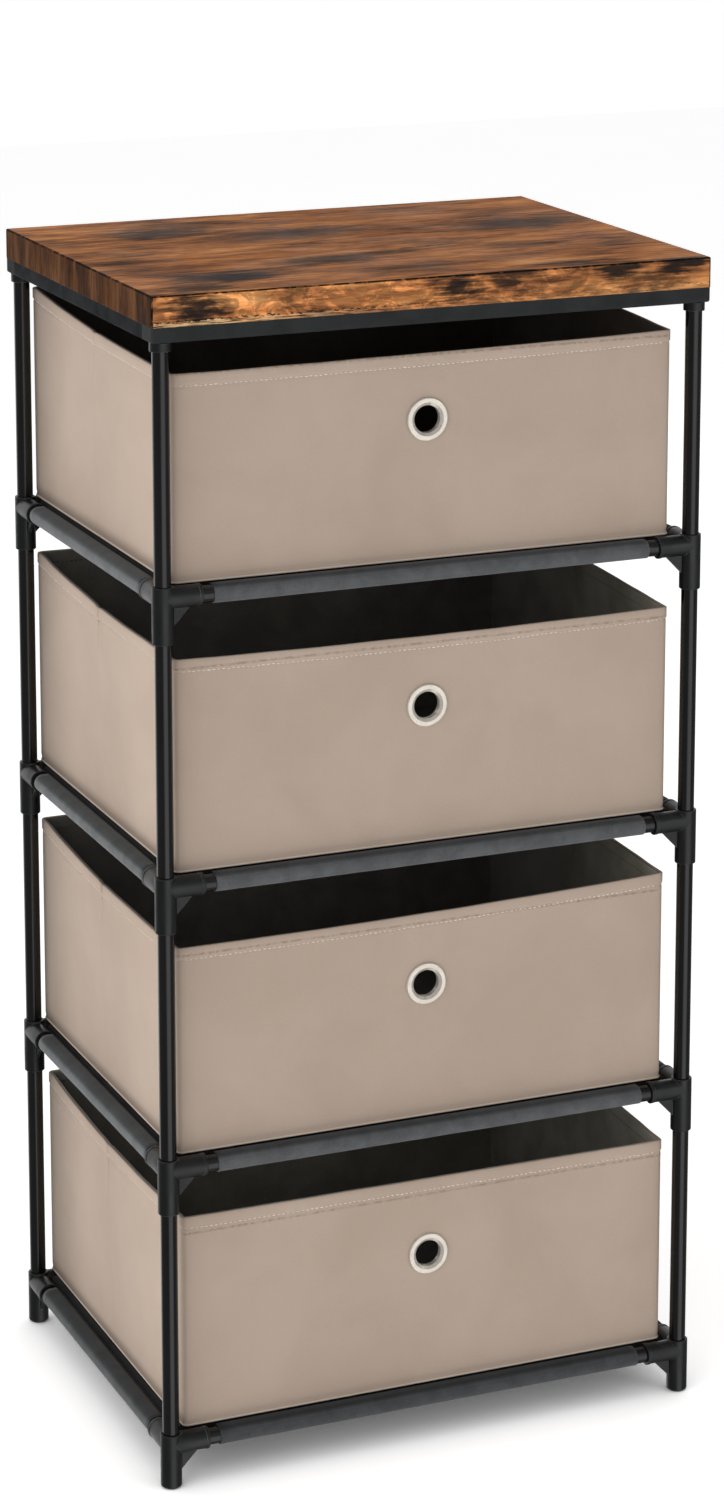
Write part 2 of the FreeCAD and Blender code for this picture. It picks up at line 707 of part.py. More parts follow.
def make_eyelet(doc, label):
    """Flange with a rounded rim and a bevelled mouth, and the barrel through the cloth."""
    hole = "Sizes.grommet_hole / 2"
    flange = "Sizes.grommet_flange / 2"
    end = f"{CLOTH_THICKNESS} + Sizes.washer_thickness"
    body = new_body(doc, label)
    sketch = new_sketch(body, "YZ_Plane")
    add_outline(sketch, (
        ("0", flange), ("-Sizes.flange_thickness", flange),
        ("-Sizes.flange_thickness", f"{hole} + Sizes.grommet_bevel"),
        ("0", hole), (end, hole), (end, BARREL_RADIUS), ("0", BARREL_RADIUS),
    ))
    ring = add_revolution(body, sketch, "H_Axis")
    face = -value_of(body, "Sizes.flange_thickness")
    rim = value_of(body, flange)

    def is_front_rim(edge):
        on_face = abs(edge.BoundBox.YMin - face) + abs(edge.BoundBox.YMax - face) < 1e-6
        return on_face and abs(edge.Curve.Radius - rim) < 1e-6

    dress_edges(body, ring, "PartDesign::Fillet", "Radius", "Sizes.flange_rounding", is_front_rim)
    return body


def make_washer(doc, label):
    """Flat ring round the end of the barrel, behind the cloth."""
    body = new_body(doc, label)
    sketch = new_sketch(body, "YZ_Plane")
    add_rectangle(
        sketch, CLOTH_THICKNESS, f"{CLOTH_THICKNESS} + Sizes.washer_thickness",
        GROMMET_OPENING, "Sizes.grommet_flange / 2")
    add_revolution(body, sketch, "H_Axis")
    return body


def make_drawer(doc, tier):
    """Cover, lining, base board and two-piece grommet of one cloth drawer."""
    name = f"drawer_{tier}"
    pieces = [
        make_layer(doc, f"{name}_cover", "0", "Sizes.cover_thickness"),
        make_layer(
            doc, f"{name}_lining", "(Sizes.cover_thickness + Sizes.cloth_gap)",
            "Sizes.lining_thickness"),
        make_base(doc, f"{name}_base_board"),
    ]
    for piece in pieces:
        place_in_drawer(piece, tier)
    rings = [make_eyelet(doc, f"{name}_eyelet"), make_washer(doc, f"{name}_eyelet_washer")]
    for ring in rings:
        place_in_drawer(ring, tier, "Sizes.grommet_height")
    return pieces + rings


# ---------------------------------------------------------------- checks and files

def check_document(doc, parts):
    """Stop at the first failed object or broken shape."""
    for obj in doc.Objects:
        if "Invalid" in obj.State or "Error" in obj.State:
            raise RuntimeError(f"{obj.Name} failed: {obj.State}")
    for part in parts:
        if part.Shape.isNull() or not part.Shape.isValid():
            raise RuntimeError(f"{part.Label} has a broken shape")


def write_parts(parts, folder):
    """One STEP file for each sub-part, named by its label."""
    os.makedirs(folder, exist_ok=True)
    for part in parts:
        part.Shape.exportStep(os.path.join(folder, f"{part.Label}.step"))


def main():
    """Build, check and write the whole dresser."""
    doc = FreeCAD.newDocument("fabric_drawer_dresser")
    make_sheet(doc)
    parts = make_top(doc) + make_posts(doc) + make_connectors(doc)
    for tier in range(1, TIERS + 1):
        parts.extend(make_rails(doc, tier))
        parts.append(make_shelf(doc, tier))
        parts.extend(make_drawer(doc, tier))
    doc.recompute()
    check_document(doc, parts)
    write_parts(parts, "parts")
    solids = sum(len(part.Shape.Solids) for part in parts)
    print(f"{len(parts)} sub-parts, {solids} solids")


main()
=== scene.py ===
"""Dressed model of a tall tube-frame dresser with four cloth drawers and a wood-look top."""

import logging
import math
import random
from dataclasses import dataclass, field, replace
from enum import Enum
from typing import Callable, Sequence

import bmesh
import bpy
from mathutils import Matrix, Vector, noise


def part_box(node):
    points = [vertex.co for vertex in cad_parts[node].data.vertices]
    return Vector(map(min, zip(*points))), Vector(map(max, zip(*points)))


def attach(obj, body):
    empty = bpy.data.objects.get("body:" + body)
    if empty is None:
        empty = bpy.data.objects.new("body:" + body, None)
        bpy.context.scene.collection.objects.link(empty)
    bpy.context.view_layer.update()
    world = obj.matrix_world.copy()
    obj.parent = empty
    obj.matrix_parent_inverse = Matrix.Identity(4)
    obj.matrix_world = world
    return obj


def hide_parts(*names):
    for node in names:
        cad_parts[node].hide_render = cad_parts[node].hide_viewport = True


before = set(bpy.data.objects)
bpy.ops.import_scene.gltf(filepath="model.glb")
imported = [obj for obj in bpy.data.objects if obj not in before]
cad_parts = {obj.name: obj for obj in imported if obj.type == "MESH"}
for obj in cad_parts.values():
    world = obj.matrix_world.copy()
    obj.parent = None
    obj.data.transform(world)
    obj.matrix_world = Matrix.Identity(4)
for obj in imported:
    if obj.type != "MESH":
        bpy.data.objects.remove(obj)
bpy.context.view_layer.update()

log = logging.getLogger("dresser")

MM = 0.001
TINY = 1e-6
TIERS = (1, 2, 3, 4)
TIER_PITCH = 219.0 * MM
THREAD_SIDES = 6
SIDES = ("front", "back", "left", "right")
CORNERS = ("front_left", "front_right", "back_right", "back_left")
Rgb = tuple[float, float, float]
Socket = bpy.types.NodeSocket
Material = bpy.types.Material
Piece = bpy.types.Object
Feed = Socket | float | Sequence[float]


# ---- small helpers
def smooth(value: float, low: float, high: float) -> float:
    """Eased step from 0 at low to 1 at high.

    Args:
        value: The number that is tested.
        low: Where the step starts.
        high: Where the step ends.

    Returns:
        A number from 0 to 1.
    """
    part = min(1.0, max(0.0, (value - low) / (high - low)))
    return part * part * (3.0 - 2.0 * part)


def spread(start: float, end: float, step: float) -> list[float]:
    """Evenly spaced numbers from start to end, with both ends.

    Args:
        start: First number.
        end: Last number.
        step: Widest spacing allowed.

    Returns:
        The numbers in order.
    """
    count = max(1, math.ceil(abs(end - start) / step - TINY))
    return [start + (end - start) * index / count for index in range(count + 1)]


def ripple(x: float, y: float, z: float, scale: float, seed: float = 0.0) -> float:
    """Smooth noise of about -1 to 1 at a place in metres.

    Args:
        x: Place along X.
        y: Place along Y.
        z: Place along Z.
        scale: Length of one wave, in metres.
        seed: Number that moves the pattern, so that no two pieces share it.

    Returns:
        The height of the noise.
    """
    return noise.noise(Vector((x / scale + seed, y / scale + 2.3 * seed, z / scale - seed)))


def scaled(colour: Rgb, factor: float) -> Rgb:
    """A colour made darker or lighter by a factor."""
    return colour[0] * factor, colour[1] * factor, colour[2] * factor


# ---- node graphs
class Graph:
    """Adds nodes to one node tree and links them."""

    def __init__(self, tree: bpy.types.NodeTree) -> None:
        """Keep the tree that the nodes go into."""
        self.tree = tree

    def add(self, kind: str, feeds: dict[str | int, Feed] | None = None,
            **settings: object) -> bpy.types.Node:
        """Add one node.

        Args:
            kind: Blender's name of the node type.
            feeds: Value or output socket for each named or numbered input.
            **settings: Properties of the node itself.

        Returns:
            The new node.
        """
        node = self.tree.nodes.new(kind)
        node.location = (190.0 * (len(self.tree.nodes) % 9), -260.0 * (len(self.tree.nodes) // 9))
        for name, value in settings.items():
            setattr(node, name, value)
        for name, value in (feeds or {}).items():
            self.feed(node.inputs[name], value)
        return node

    def feed(self, socket: Socket, value: Feed) -> None:
        """Link an output to a socket, or set the socket's own value.

        Args:
            socket: The input.
            value: An output socket or a plain value.
        """
        if isinstance(value, Socket):
            self.tree.links.new(value, socket)
        elif isinstance(value, (int, float)):
            socket.default_value = value
        else:
            socket.default_value = tuple(value) + (1.0,) * (len(socket.default_value) - len(value))

    def math(self, operation: str, first: Feed, second: Feed = 0.0, third: Feed = 0.0) -> Socket:
        """Add a Math node.

        Args:
            operation: Blender's name of the operation.
            first: First input.
            second: Second input.
            third: Third input.

        Returns:
            The node's output.
        """
        feeds = {0: first, 1: second, 2: third}
        return self.add("ShaderNodeMath", feeds, operation=operation).outputs[0]

    def times(self, first: Feed, second: Feed) -> Socket:
        """Product of two numbers."""
        return self.math("MULTIPLY", first, second)

    def away(self, first: Feed, second: Feed) -> Socket:
        """Distance between two numbers."""
        return self.math("ABSOLUTE", self.math("SUBTRACT", first, second))

    def vector(self, operation: str, first: Feed, second: Feed = (0.0, 0.0, 0.0)) -> bpy.types.Node:
        """Add a Vector Math node.

        Args:
            operation: Blender's name of the operation.
            first: First input.
            second: Second input.

        Returns:
            The node.
        """
        return self.add("ShaderNodeVectorMath", {0: first, 1: second}, operation=operation)

    def stretch(self, place: Feed, *factors: float) -> Socket:
        """A vector with each axis multiplied by its own factor."""
        return self.vector("MULTIPLY", place, factors).outputs[0]

    def split(self, vector: Feed) -> bpy.types.NodeOutputs:
        """X, Y and Z of a vector."""
        return self.add("ShaderNodeSeparateXYZ", {0: vector}).outputs

    def normal(self) -> Socket:
        """Direction that the surface faces, on the object's own axes."""
        return self.add("ShaderNodeTexCoord").outputs["Normal"]

    def step(self, value: Feed, low: float, high: float, start: float = 0.0, end: float = 1.0) -> Socket:
        """Add an eased Map Range node.

        Args:
            value: The number that is mapped.
            low: Input that gives start.
            high: Input that gives end.
            start: Result at and below low.
            end: Result at and above high.

        Returns:
            The node's output.
        """
        feeds = {"Value": value, "From Min": low, "From Max": high, "To Min": start, "To Max": end}
        return self.add("ShaderNodeMapRange", feeds, interpolation_type="SMOOTHSTEP").outputs[0]

    def mix(self, share: Feed, first: Feed, second: Feed, blend: str = "MIX") -> Socket:
        """Add a colour Mix node.

        Args:
            share: How much of the second colour shows.
            first: First colour.
            second: Second colour.
            blend: Blender's name of the blend mode.

        Returns:
            The mixed colour.
        """
        feeds = {0: share, 6: first, 7: second}
        return self.add("ShaderNodeMix", feeds, data_type="RGBA", blend_type=blend).outputs[2]

    def noise(self, place: Feed, scale: Feed, detail: float = 3.0, rough: float = 0.5,
              distortion: float = 0.0) -> Socket:
        """Add a Noise Texture node.

        Args:
            place: Texture coordinate.
            scale: Waves per metre.
            detail: Octaves.
            rough: Strength of the finer octaves.
            distortion: How far the pattern is pushed about.

        Returns:
            The height of the noise, around 0.5.
        """
        feeds = {"Vector": place, "Scale": scale, "Detail": detail, "Roughness": rough,
                 "Distortion": distortion}
        return self.add("ShaderNodeTexNoise", feeds).outputs["Fac"]

    def ramp(self, value: Feed, stops: Sequence[tuple[float, Rgb]]) -> Socket:
        """Add a Color Ramp node.

        Args:
            value: Number from 0 to 1.
            stops: Place and colour of each stop.

        Returns:
            The colour.
        """
        node = self.add("ShaderNodeValToRGB", {0: value})
        elements = node.color_ramp.elements
        while len(elements) < len(stops):
            elements.new(0.5)
        for element, (place, colour) in zip(elements, stops):
            element.position = place
            element.color = (*colour, 1.0)
        return node.outputs[0]

    def bump(self, height: Feed, distance: float, strength: float = 1.0,
             normal: Socket | None = None) -> Socket:
        """Add a Bump node.

        Args:
            height: Height from 0 to 1.
            distance: What a height of 1 measures, in metres.
            strength: Share of the effect.
            normal: Normal that the bump starts from.

        Returns:
            The bumped normal.
        """
        node = self.add("ShaderNodeBump", {"Height": height, "Distance": distance, "Strength": strength})
        if normal is not None:
            self.feed(node.inputs["Normal"], normal)
        return node.outputs["Normal"]


class SocketKind(Enum):
    """Kinds of socket that a node group can have."""

    NUMBER = "NodeSocketFloat"
    VECTOR = "NodeSocketVector"
    COLOUR = "NodeSocketColor"


NUMBER, VECTOR, COLOUR = SocketKind


class Effect:
    """One shared shader node group with named inputs and outputs."""

    def __init__(self, name: str, inputs: dict[str, tuple[SocketKind, float | Rgb]],
                 outputs: dict[str, SocketKind]) -> None:
        """Make the empty group.

        Args:
            name: Name of the group.
            inputs: Kind and first value of each input.
            outputs: Kind of each output.
        """
        self.tree = bpy.data.node_groups.new(name, "ShaderNodeTree")
        for label, (kind, value) in inputs.items():
            socket = self.tree.interface.new_socket(name=label, in_out="INPUT", socket_type=kind.value)
            if kind is NUMBER:
                socket.default_value = value
            elif kind is COLOUR:
                socket.default_value = (*value, 1.0)
        for label, kind in outputs.items():
            self.tree.interface.new_socket(name=label, in_out="OUTPUT", socket_type=kind.value)
        self.graph = Graph(self.tree)
        self.source = self.graph.add("NodeGroupInput").outputs
        self.result = self.graph.add("NodeGroupOutput").inputs

    def give(self, results: dict[str, Feed]) -> "Effect":
        """Link the group's outputs.

        Args:
            results: Socket for each output.

        Returns:
            The finished group.
        """
        for label, value in results.items():
            self.graph.feed(self.result[label], value)
        return self

    def put(self, graph: Graph, feeds: dict[str, Feed]) -> bpy.types.NodeOutputs:
        """Place the group in a material.

        Args:
            graph: The material's graph.
            feeds: Value or socket for each input.

        Returns:
            The outputs of the placed group.
        """
        return graph.add("ShaderNodeGroup", feeds, node_tree=self.tree).outputs


class Effects:
    """The effects that more than one finish uses, each built once."""

    def __init__(self) -> None:
        """Build every shared group."""
        self.mottle = self._mottle()
        self.weave = self._weave()
        self.dimples = self._dimples()
        self.edge_wear = self._edge_wear()
        self.handling = self._handling()
        self.dust = self._dust()

    @staticmethod
    def _mottle() -> Effect:
        """Cloudy change between two colours, broad and fine.

        Returns:
            The group.
        """
        effect = Effect(
            "Mottled tint",
            {"Place": (VECTOR, 0.0), "Dark": (COLOUR, (0.2, 0.2, 0.2)), "Light": (COLOUR, (0.5, 0.5, 0.5)),
             "Broad": (NUMBER, 9.0), "Fine": (NUMBER, 600.0)},
            {"Colour": COLOUR})
        graph, source = effect.graph, effect.source
        broad = graph.noise(source["Place"], source["Broad"], 3.0, 0.55, 0.4)
        fine = graph.noise(source["Place"], source["Fine"], 2.0, 0.6)
        both = graph.math("ADD", graph.times(broad, 0.65), graph.times(fine, 0.35))
        share = graph.step(both, 0.34, 0.66)
        return effect.give({"Colour": graph.mix(share, source["Dark"], source["Light"])})

    @staticmethod
    def _weave() -> Effect:
        """Plain weave of crossing threads, the same on every wall of a box.

        Returns:
            The group.
        """
        effect = Effect(
            "Plain weave",
            {"Place": (VECTOR, 0.0), "Threads": (NUMBER, 9000.0), "Slub": (NUMBER, 0.4)},
            {"Height": NUMBER, "Thread": NUMBER})
        graph, source = effect.graph, effect.source
        x, y, z = graph.split(source["Place"])
        drift = graph.noise(source["Place"], 260.0, 2.0, 0.5)
        swing = graph.times(graph.math("SUBTRACT", drift, 0.5), source["Slub"])
        around = graph.times(graph.math("ADD", x, y), source["Threads"])
        up = graph.times(z, source["Threads"])
        warp = graph.math("SINE", graph.math("ADD", around, graph.times(swing, 6.0)))
        weft = graph.math("SINE", graph.math("ADD", up, graph.times(swing, 5.0)))
        knot = graph.math("MULTIPLY_ADD", graph.times(warp, weft), 0.5, 0.5)
        rough = graph.math("MULTIPLY_ADD", drift, 0.5, graph.times(knot, 0.6))
        return effect.give({"Height": rough, "Thread": knot})

    @staticmethod
    def _dimples() -> Effect:
        """Pressed dots and loose fibres of non-woven cloth.

        Returns:
            The group.
        """
        effect = Effect(
            "Pressed dots and fibres",
            {"Place": (VECTOR, 0.0), "Dots": (NUMBER, 620.0), "Fibre": (NUMBER, 0.5)},
            {"Height": NUMBER, "Dot": NUMBER, "Fibres": NUMBER})
        graph, source = effect.graph, effect.source
        cells = graph.add("ShaderNodeTexVoronoi", {
            "Vector": source["Place"], "Scale": source["Dots"], "Randomness": 0.18})
        dot = graph.step(cells.outputs["Distance"], 0.18, 0.4)
        fibres = graph.noise(graph.stretch(source["Place"], 1.0, 1.0, 3.2), 1500.0, 3.0, 0.7, 1.2)
        height = graph.math(
            "MULTIPLY_ADD", graph.times(fibres, source["Fibre"]), 0.8, graph.times(dot, 0.5))
        return effect.give({"Height": height, "Dot": dot, "Fibres": fibres})

    @staticmethod
    def _edge_wear() -> Effect:
        """Mask of the rubbed edges, and the normal with each edge slightly rounded.

        Returns:
            The group.
        """
        effect = Effect(
            "Rubbed edges",
            {"Place": (VECTOR, 0.0), "Radius": (NUMBER, 0.0006), "Patches": (NUMBER, 90.0)},
            {"Wear": NUMBER, "Normal": VECTOR})
        graph, source = effect.graph, effect.source
        rounded = graph.add("ShaderNodeBevel", {"Radius": source["Radius"]}, samples=4).outputs[0]
        plain = graph.add("ShaderNodeNewGeometry").outputs["Normal"]
        facing = graph.vector("DOT_PRODUCT", rounded, plain).outputs["Value"]
        edge = graph.step(graph.math("SUBTRACT", 1.0, facing), 0.015, 0.22)
        patch = graph.noise(source["Place"], source["Patches"], 3.0, 0.6)
        worn = graph.times(edge, graph.step(patch, 0.36, 0.62, 0.25, 1.0))
        return effect.give({"Wear": worn, "Normal": rounded})

    @staticmethod
    def _handling() -> Effect:
        """Roughness that changes from place to place, as handling leaves it.

        Returns:
            The group.
        """
        effect = Effect(
            "Handling marks",
            {"Place": (VECTOR, 0.0), "Low": (NUMBER, 0.3), "High": (NUMBER, 0.5),
             "Patches": (NUMBER, 14.0)},
            {"Roughness": NUMBER})
        graph, source = effect.graph, effect.source
        share = graph.step(graph.noise(source["Place"], source["Patches"], 4.0, 0.62, 0.6), 0.3, 0.7)
        span = graph.math("SUBTRACT", source["High"], source["Low"])
        return effect.give({"Roughness": graph.math("MULTIPLY_ADD", share, span, source["Low"])})

    @staticmethod
    def _dust() -> Effect:
        """Thin dust on whatever faces up.

        Returns:
            The group.
        """
        effect = Effect(
            "Settled dust", {"Place": (VECTOR, 0.0), "Amount": (NUMBER, 0.3)}, {"Dust": NUMBER})
        graph, source = effect.graph, effect.source
        lying = graph.step(graph.split(graph.normal())[2], 0.35, 0.95)
        cloud = graph.step(graph.noise(source["Place"], 38.0, 4.0, 0.7), 0.38, 0.72)
        return effect.give({"Dust": graph.times(graph.times(lying, cloud), source["Amount"])})


# ---- finishes
class Draft:
    """One material while its nodes are added."""

    def __init__(self, name: str, effects: Effects) -> None:
        """Start a material with only its shader and output.

        Args:
            name: Name of the material.
            effects: The shared groups.
        """
        self.effects = effects
        self.material = bpy.data.materials.new(name)
        self.material.use_nodes = True
        self.material.node_tree.nodes.clear()
        self.graph = Graph(self.material.node_tree)
        self.shader = self.graph.add("ShaderNodeBsdfPrincipled")
        output = self.graph.add("ShaderNodeOutputMaterial")
        self.graph.tree.links.new(self.shader.outputs[0], output.inputs["Surface"])
        self.place = self.graph.add("ShaderNodeTexCoord").outputs["Object"]

    def put(self, effect: Effect, feeds: dict[str, Feed]) -> bpy.types.NodeOutputs:
        """Place a shared group at the material's coordinate, in metres."""
        return effect.put(self.graph, {"Place": self.place, **feeds})

    def mottled(self, dark: Rgb, light: Rgb, broad: float, fine: float) -> Socket:
        """Colour that wanders from dark to light, with so many broad and fine clouds per metre."""
        feeds = {"Dark": dark, "Light": light, "Broad": broad, "Fine": fine}
        return self.put(self.effects.mottle, feeds)["Colour"]

    def handled(self, low: float, high: float, patches: float) -> Socket:
        """Roughness that wanders from low to high, with so many patches per metre."""
        feeds = {"Low": low, "High": high, "Patches": patches}
        return self.put(self.effects.handling, feeds)["Roughness"]

    def dusted(self, colour: Feed, amount: float, dust: Rgb) -> Socket:
        """The colour with dust of another colour settled on it."""
        return self.graph.mix(self.put(self.effects.dust, {"Amount": amount})["Dust"], colour, dust)


@dataclass(frozen=True)
class Finish:
    """What one surface is finished with."""

    name: str

    def material(self, effects: Effects) -> Material:
        """Build the material.

        Args:
            effects: The shared groups.

        Returns:
            The material.
        """
        draft = Draft(self.name, effects)
        for label, value in self.feeds(draft).items():
            draft.graph.feed(draft.shader.inputs[label], value)
        return draft.material

    def feeds(self, draft: Draft) -> dict[str, Feed]:
        """Add the finish's own nodes and say what feeds each input of the shader."""
        raise NotImplementedError(self.name)


@dataclass(frozen=True)
class Stain:
    """One dark patch of the wood print, in the board's unfolded plan."""

    x: float
    y: float
    half_length: float
    half_width: float
    depth: float = 1.0


@dataclass(frozen=True)
class PrintedWood(Finish):
    """Rustic wood print that runs over the top and folds down over the edges, with painted light and shade
    on its front, left and right faces.
    """

    low: Vector = field(default_factory=Vector)
    high: Vector = field(default_factory=Vector)
    stains: tuple[Stain, ...] = ()
    # painted light and shade: front, left and right faces tinted as differently lit copies of the print,
    # plus a painted highlight tint for the front
    front_painted_tint: Rgb = (0.86, 0.92, 1.0)
    left_painted_shade: Rgb = (0.2, 0.212, 0.25)
    right_painted_shade: Rgb = (0.6, 0.6, 0.62)
    front_painted_highlight: Rgb = (2.0, 1.85, 1.7)
    stain_colour: Rgb = (0.0105, 0.0118, 0.0125)
    pale_colour: Rgb = (0.66, 0.43, 0.23)
    crack_colour: Rgb = (0.012, 0.01, 0.008)
    rubbed_colour: Rgb = (0.42, 0.22, 0.1)
    score_colour: Rgb = (0.006, 0.005, 0.004)
    torn_height: float = 3.9 * MM

    def feeds(self, draft: Draft) -> dict[str, Feed]:
        """Add the print, its score lines and its satin coat, with light and shade painted face by face and
        a painted highlight on the front.

        Args:
            draft: The material while it is built.

        Returns:
            What feeds each input of the shader.
        """
        graph = draft.graph
        x, y, z = graph.split(draft.place)
        facing_x, facing_y, _ = graph.split(graph.normal())
        drop = graph.math("SUBTRACT", self.high.z, z)
        along = graph.math("MULTIPLY_ADD", facing_x, drop, x)
        across = graph.math("MULTIPLY_ADD", facing_y, drop, y)
        plan = graph.add("ShaderNodeCombineXYZ", {0: along, 1: across}).outputs[0]
        front = graph.step(facing_y, -0.9, -0.5, 1.0, 0.0)
        left = graph.step(facing_x, -0.9, -0.5, 1.0, 0.0)
        right = graph.step(facing_x, 0.5, 0.9)
        colour, fibre = self._print(graph, plan)
        dark = self._stained(graph, plan)
        # painted highlight: bright patches on the front face only, weaker towards the right
        highlight_patches = graph.noise(graph.stretch(plan, 42.0, 66.0, 1.0), 1.0, 5.0, 0.64, 2.2)
        lit = graph.times(front, graph.step(highlight_patches, 0.45, 0.6))
        lit = graph.times(lit, graph.step(x, 0.05, 0.17, 1.0, 0.35))
        # painted light and shade: the print tinted face by face, with the painted highlight patches laid on
        # the front
        front_painted_light = graph.mix(front, colour, self.front_painted_tint, "MULTIPLY")
        front_painted_light = graph.mix(lit, front_painted_light, self.front_painted_highlight, "MULTIPLY")
        side_painted_shade = graph.mix(left, front_painted_light, self.left_painted_shade, "MULTIPLY")
        side_painted_shade = graph.mix(right, side_painted_shade, self.right_painted_shade, "MULTIPLY")
        stained = graph.mix(graph.times(dark, 0.95), side_painted_shade, self.stain_colour)
        pale, cracks = self._ragged_edge(graph, plan, z, front)
        crackled = graph.mix(cracks, graph.mix(pale, stained, self.pale_colour), self.crack_colour)
        wear_and_shine = draft.put(draft.effects.edge_wear, {"Radius": 0.0009, "Patches": 60.0})
        retinted = graph.mix(graph.times(wear_and_shine["Wear"], 0.2), crackled, self.rubbed_colour)
        score = self._score_lines(graph, draft.place, x, y, z)
        relief = graph.math("MULTIPLY_ADD", score, -2.4, fibre)
        return {
            "Base Color": graph.mix(score, retinted, self.score_colour),
            "Roughness": draft.handled(0.36, 0.52, 16.0),
            "Normal": graph.bump(relief, 0.00016, 0.55, wear_and_shine["Normal"]),
            "Specular IOR Level": 0.004}

    def _print(self, graph: Graph, plan: Socket) -> tuple[Socket, ...]:
        """Grain colours of the print.

        Args:
            graph: The material's graph.
            plan: Unfolded plan coordinate.

        Returns:
            The colour, and the height of the fibres.
        """
        broad = graph.noise(graph.stretch(plan, 5.0, 23.0, 1.0), 1.0, 5.0, 0.58, 1.5)
        streak = graph.noise(graph.stretch(plan, 24.0, 170.0, 1.0), 1.0, 5.0, 0.62, 0.9)
        fibre = graph.noise(graph.stretch(plan, 80.0, 640.0, 1.0), 1.0, 4.0, 0.6, 0.2)
        cloud = graph.noise(graph.stretch(plan, 7.0, 13.0, 1.0), 1.0, 3.0, 0.5, 1.1)
        tone = graph.math("MULTIPLY_ADD", streak, 0.34, graph.times(broad, 0.46))
        tone = graph.math("MULTIPLY_ADD", fibre, 0.14, tone)
        tone = graph.math("MULTIPLY_ADD", cloud, 0.18, tone)
        colour = graph.ramp(tone, (
            (0.39, (0.030, 0.018, 0.012)),
            (0.46, (0.105, 0.044, 0.021)),
            (0.53, (0.285, 0.107, 0.038)),
            (0.60, (0.500, 0.192, 0.062)),
            (0.69, (0.700, 0.330, 0.118)),
        ))
        return colour, fibre

    def _stained(self, graph: Graph, plan: Socket) -> Socket:
        """Mask of the dark stains, placed ones and scattered ones.

        Args:
            graph: The material's graph.
            plan: Unfolded plan coordinate.

        Returns:
            The mask.
        """
        swirl = graph.noise(graph.stretch(plan, 1.0, 2.1, 1.0), 34.0, 4.0, 0.6).node.outputs["Color"]
        off_middle = graph.vector("SUBTRACT", swirl, (0.5, 0.5, 0.5)).outputs[0]
        bent = graph.vector("ADD", plan, graph.stretch(off_middle, 0.052, 0.024, 0.0)).outputs[0]
        feather = graph.noise(graph.stretch(plan, 26.0, 330.0, 1.0), 1.0, 4.0, 0.6)
        fringe = graph.math("SUBTRACT", feather, 0.5)
        total: Feed = 0.0
        for stain in self.stains:
            away = graph.vector("SUBTRACT", bent, (stain.x, stain.y, 0.0)).outputs[0]
            ratio = graph.vector("DIVIDE", away, (stain.half_length, stain.half_width, 1.0)).outputs[0]
            length = graph.vector("LENGTH", ratio).outputs["Value"]
            reach = graph.math("MULTIPLY_ADD", fringe, 2.6, length)
            total = graph.math("MAXIMUM", total, graph.step(reach, 0.35, 1.35, stain.depth, 0.0))
        cloud = graph.noise(graph.stretch(bent, 4.2, 17.0, 1.0), 1.0, 4.0, 0.6, 0.8)
        scattered = graph.step(graph.math("MULTIPLY_ADD", fringe, 0.22, cloud), 0.55, 0.69, 0.0, 0.85)
        return graph.math("MAXIMUM", total, scattered)

    def _ragged_edge(self, graph: Graph, plan: Socket, z: Socket, front: Socket) -> tuple[Socket, ...]:
        """Torn edge printed along the foot of the front face, palest towards its left end.

        Args:
            graph: The material's graph.
            plan: Unfolded plan coordinate.
            z: Height.
            front: Mask of the front face.

        Returns:
            Masks of the pale wood and of the cracks in it.
        """
        x = graph.split(plan)[0]
        height = graph.times(graph.math("SUBTRACT", z, self.low.z), 1.0 / MM)
        teeth = graph.noise(graph.stretch(plan, 130.0, 1.0, 1.0), 1.0, 4.0, 0.72)
        line = graph.math("MULTIPLY_ADD", graph.math("SUBTRACT", teeth, 0.5), 7.0, self.torn_height / MM)
        below = graph.math("SUBTRACT", line, height)
        strands = graph.noise(graph.stretch(plan, 48.0, 1250.0, 1.0), 1.0, 3.0, 0.7, 0.6)
        pale = graph.times(graph.step(below, 0.0, 0.7), graph.step(strands, 0.46, 0.56, 0.12, 1.0))
        near_line = graph.step(graph.away(below, -0.1), 0.35, 0.85, 1.0, 0.0)
        gaps = graph.step(graph.noise(plan, 240.0, 2.0), 0.44, 0.56)
        between = graph.times(graph.step(below, 0.3, 1.0), graph.step(strands, 0.43, 0.49, 0.85, 0.0))
        crack = graph.math("MAXIMUM", graph.times(near_line, gaps), between)
        fade = graph.step(x, self.low.x + 0.05, self.low.x + 0.2, 1.0, 0.12)
        fainter = graph.step(x, self.low.x + 0.1, self.low.x + 0.3, 0.95, 0.4)
        return (graph.times(graph.times(pale, fade), front),
                graph.times(graph.times(crack, fainter), front))

    def _score_lines(self, graph: Graph, place: Feed, x: Feed, y: Feed, z: Feed) -> Socket:
        """Mask of the broken dark lines where the skin folds over the edges.

        Args:
            graph: The material's graph.
            place: Texture coordinate.
            x: Place along X.
            y: Place along Y.
            z: Place along Z.

        Returns:
            The mask.
        """
        middle, half = (self.low + self.high) / 2.0, (self.high - self.low) / 2.0
        near: list[Feed] = []
        for value, centre, reach in ((x, middle.x, half.x), (y, middle.y, half.y)):
            inward = graph.math("SUBTRACT", reach, graph.away(value, centre))
            near.append(graph.step(inward, 0.0010, 0.0018, 1.0, 0.0))
        near.append(graph.step(graph.math("SUBTRACT", self.high.z, z), 0.0009, 0.0014, 1.0, 0.0))
        faces_met = graph.math("ADD", graph.math("ADD", near[0], near[1]), near[2])
        dashes = graph.noise(place, 150.0, 2.0, 0.5)
        broken = graph.step(dashes, 0.36, 0.5, 0.45, 0.95)
        return graph.times(graph.step(faces_met, 1.3, 1.9), broken)


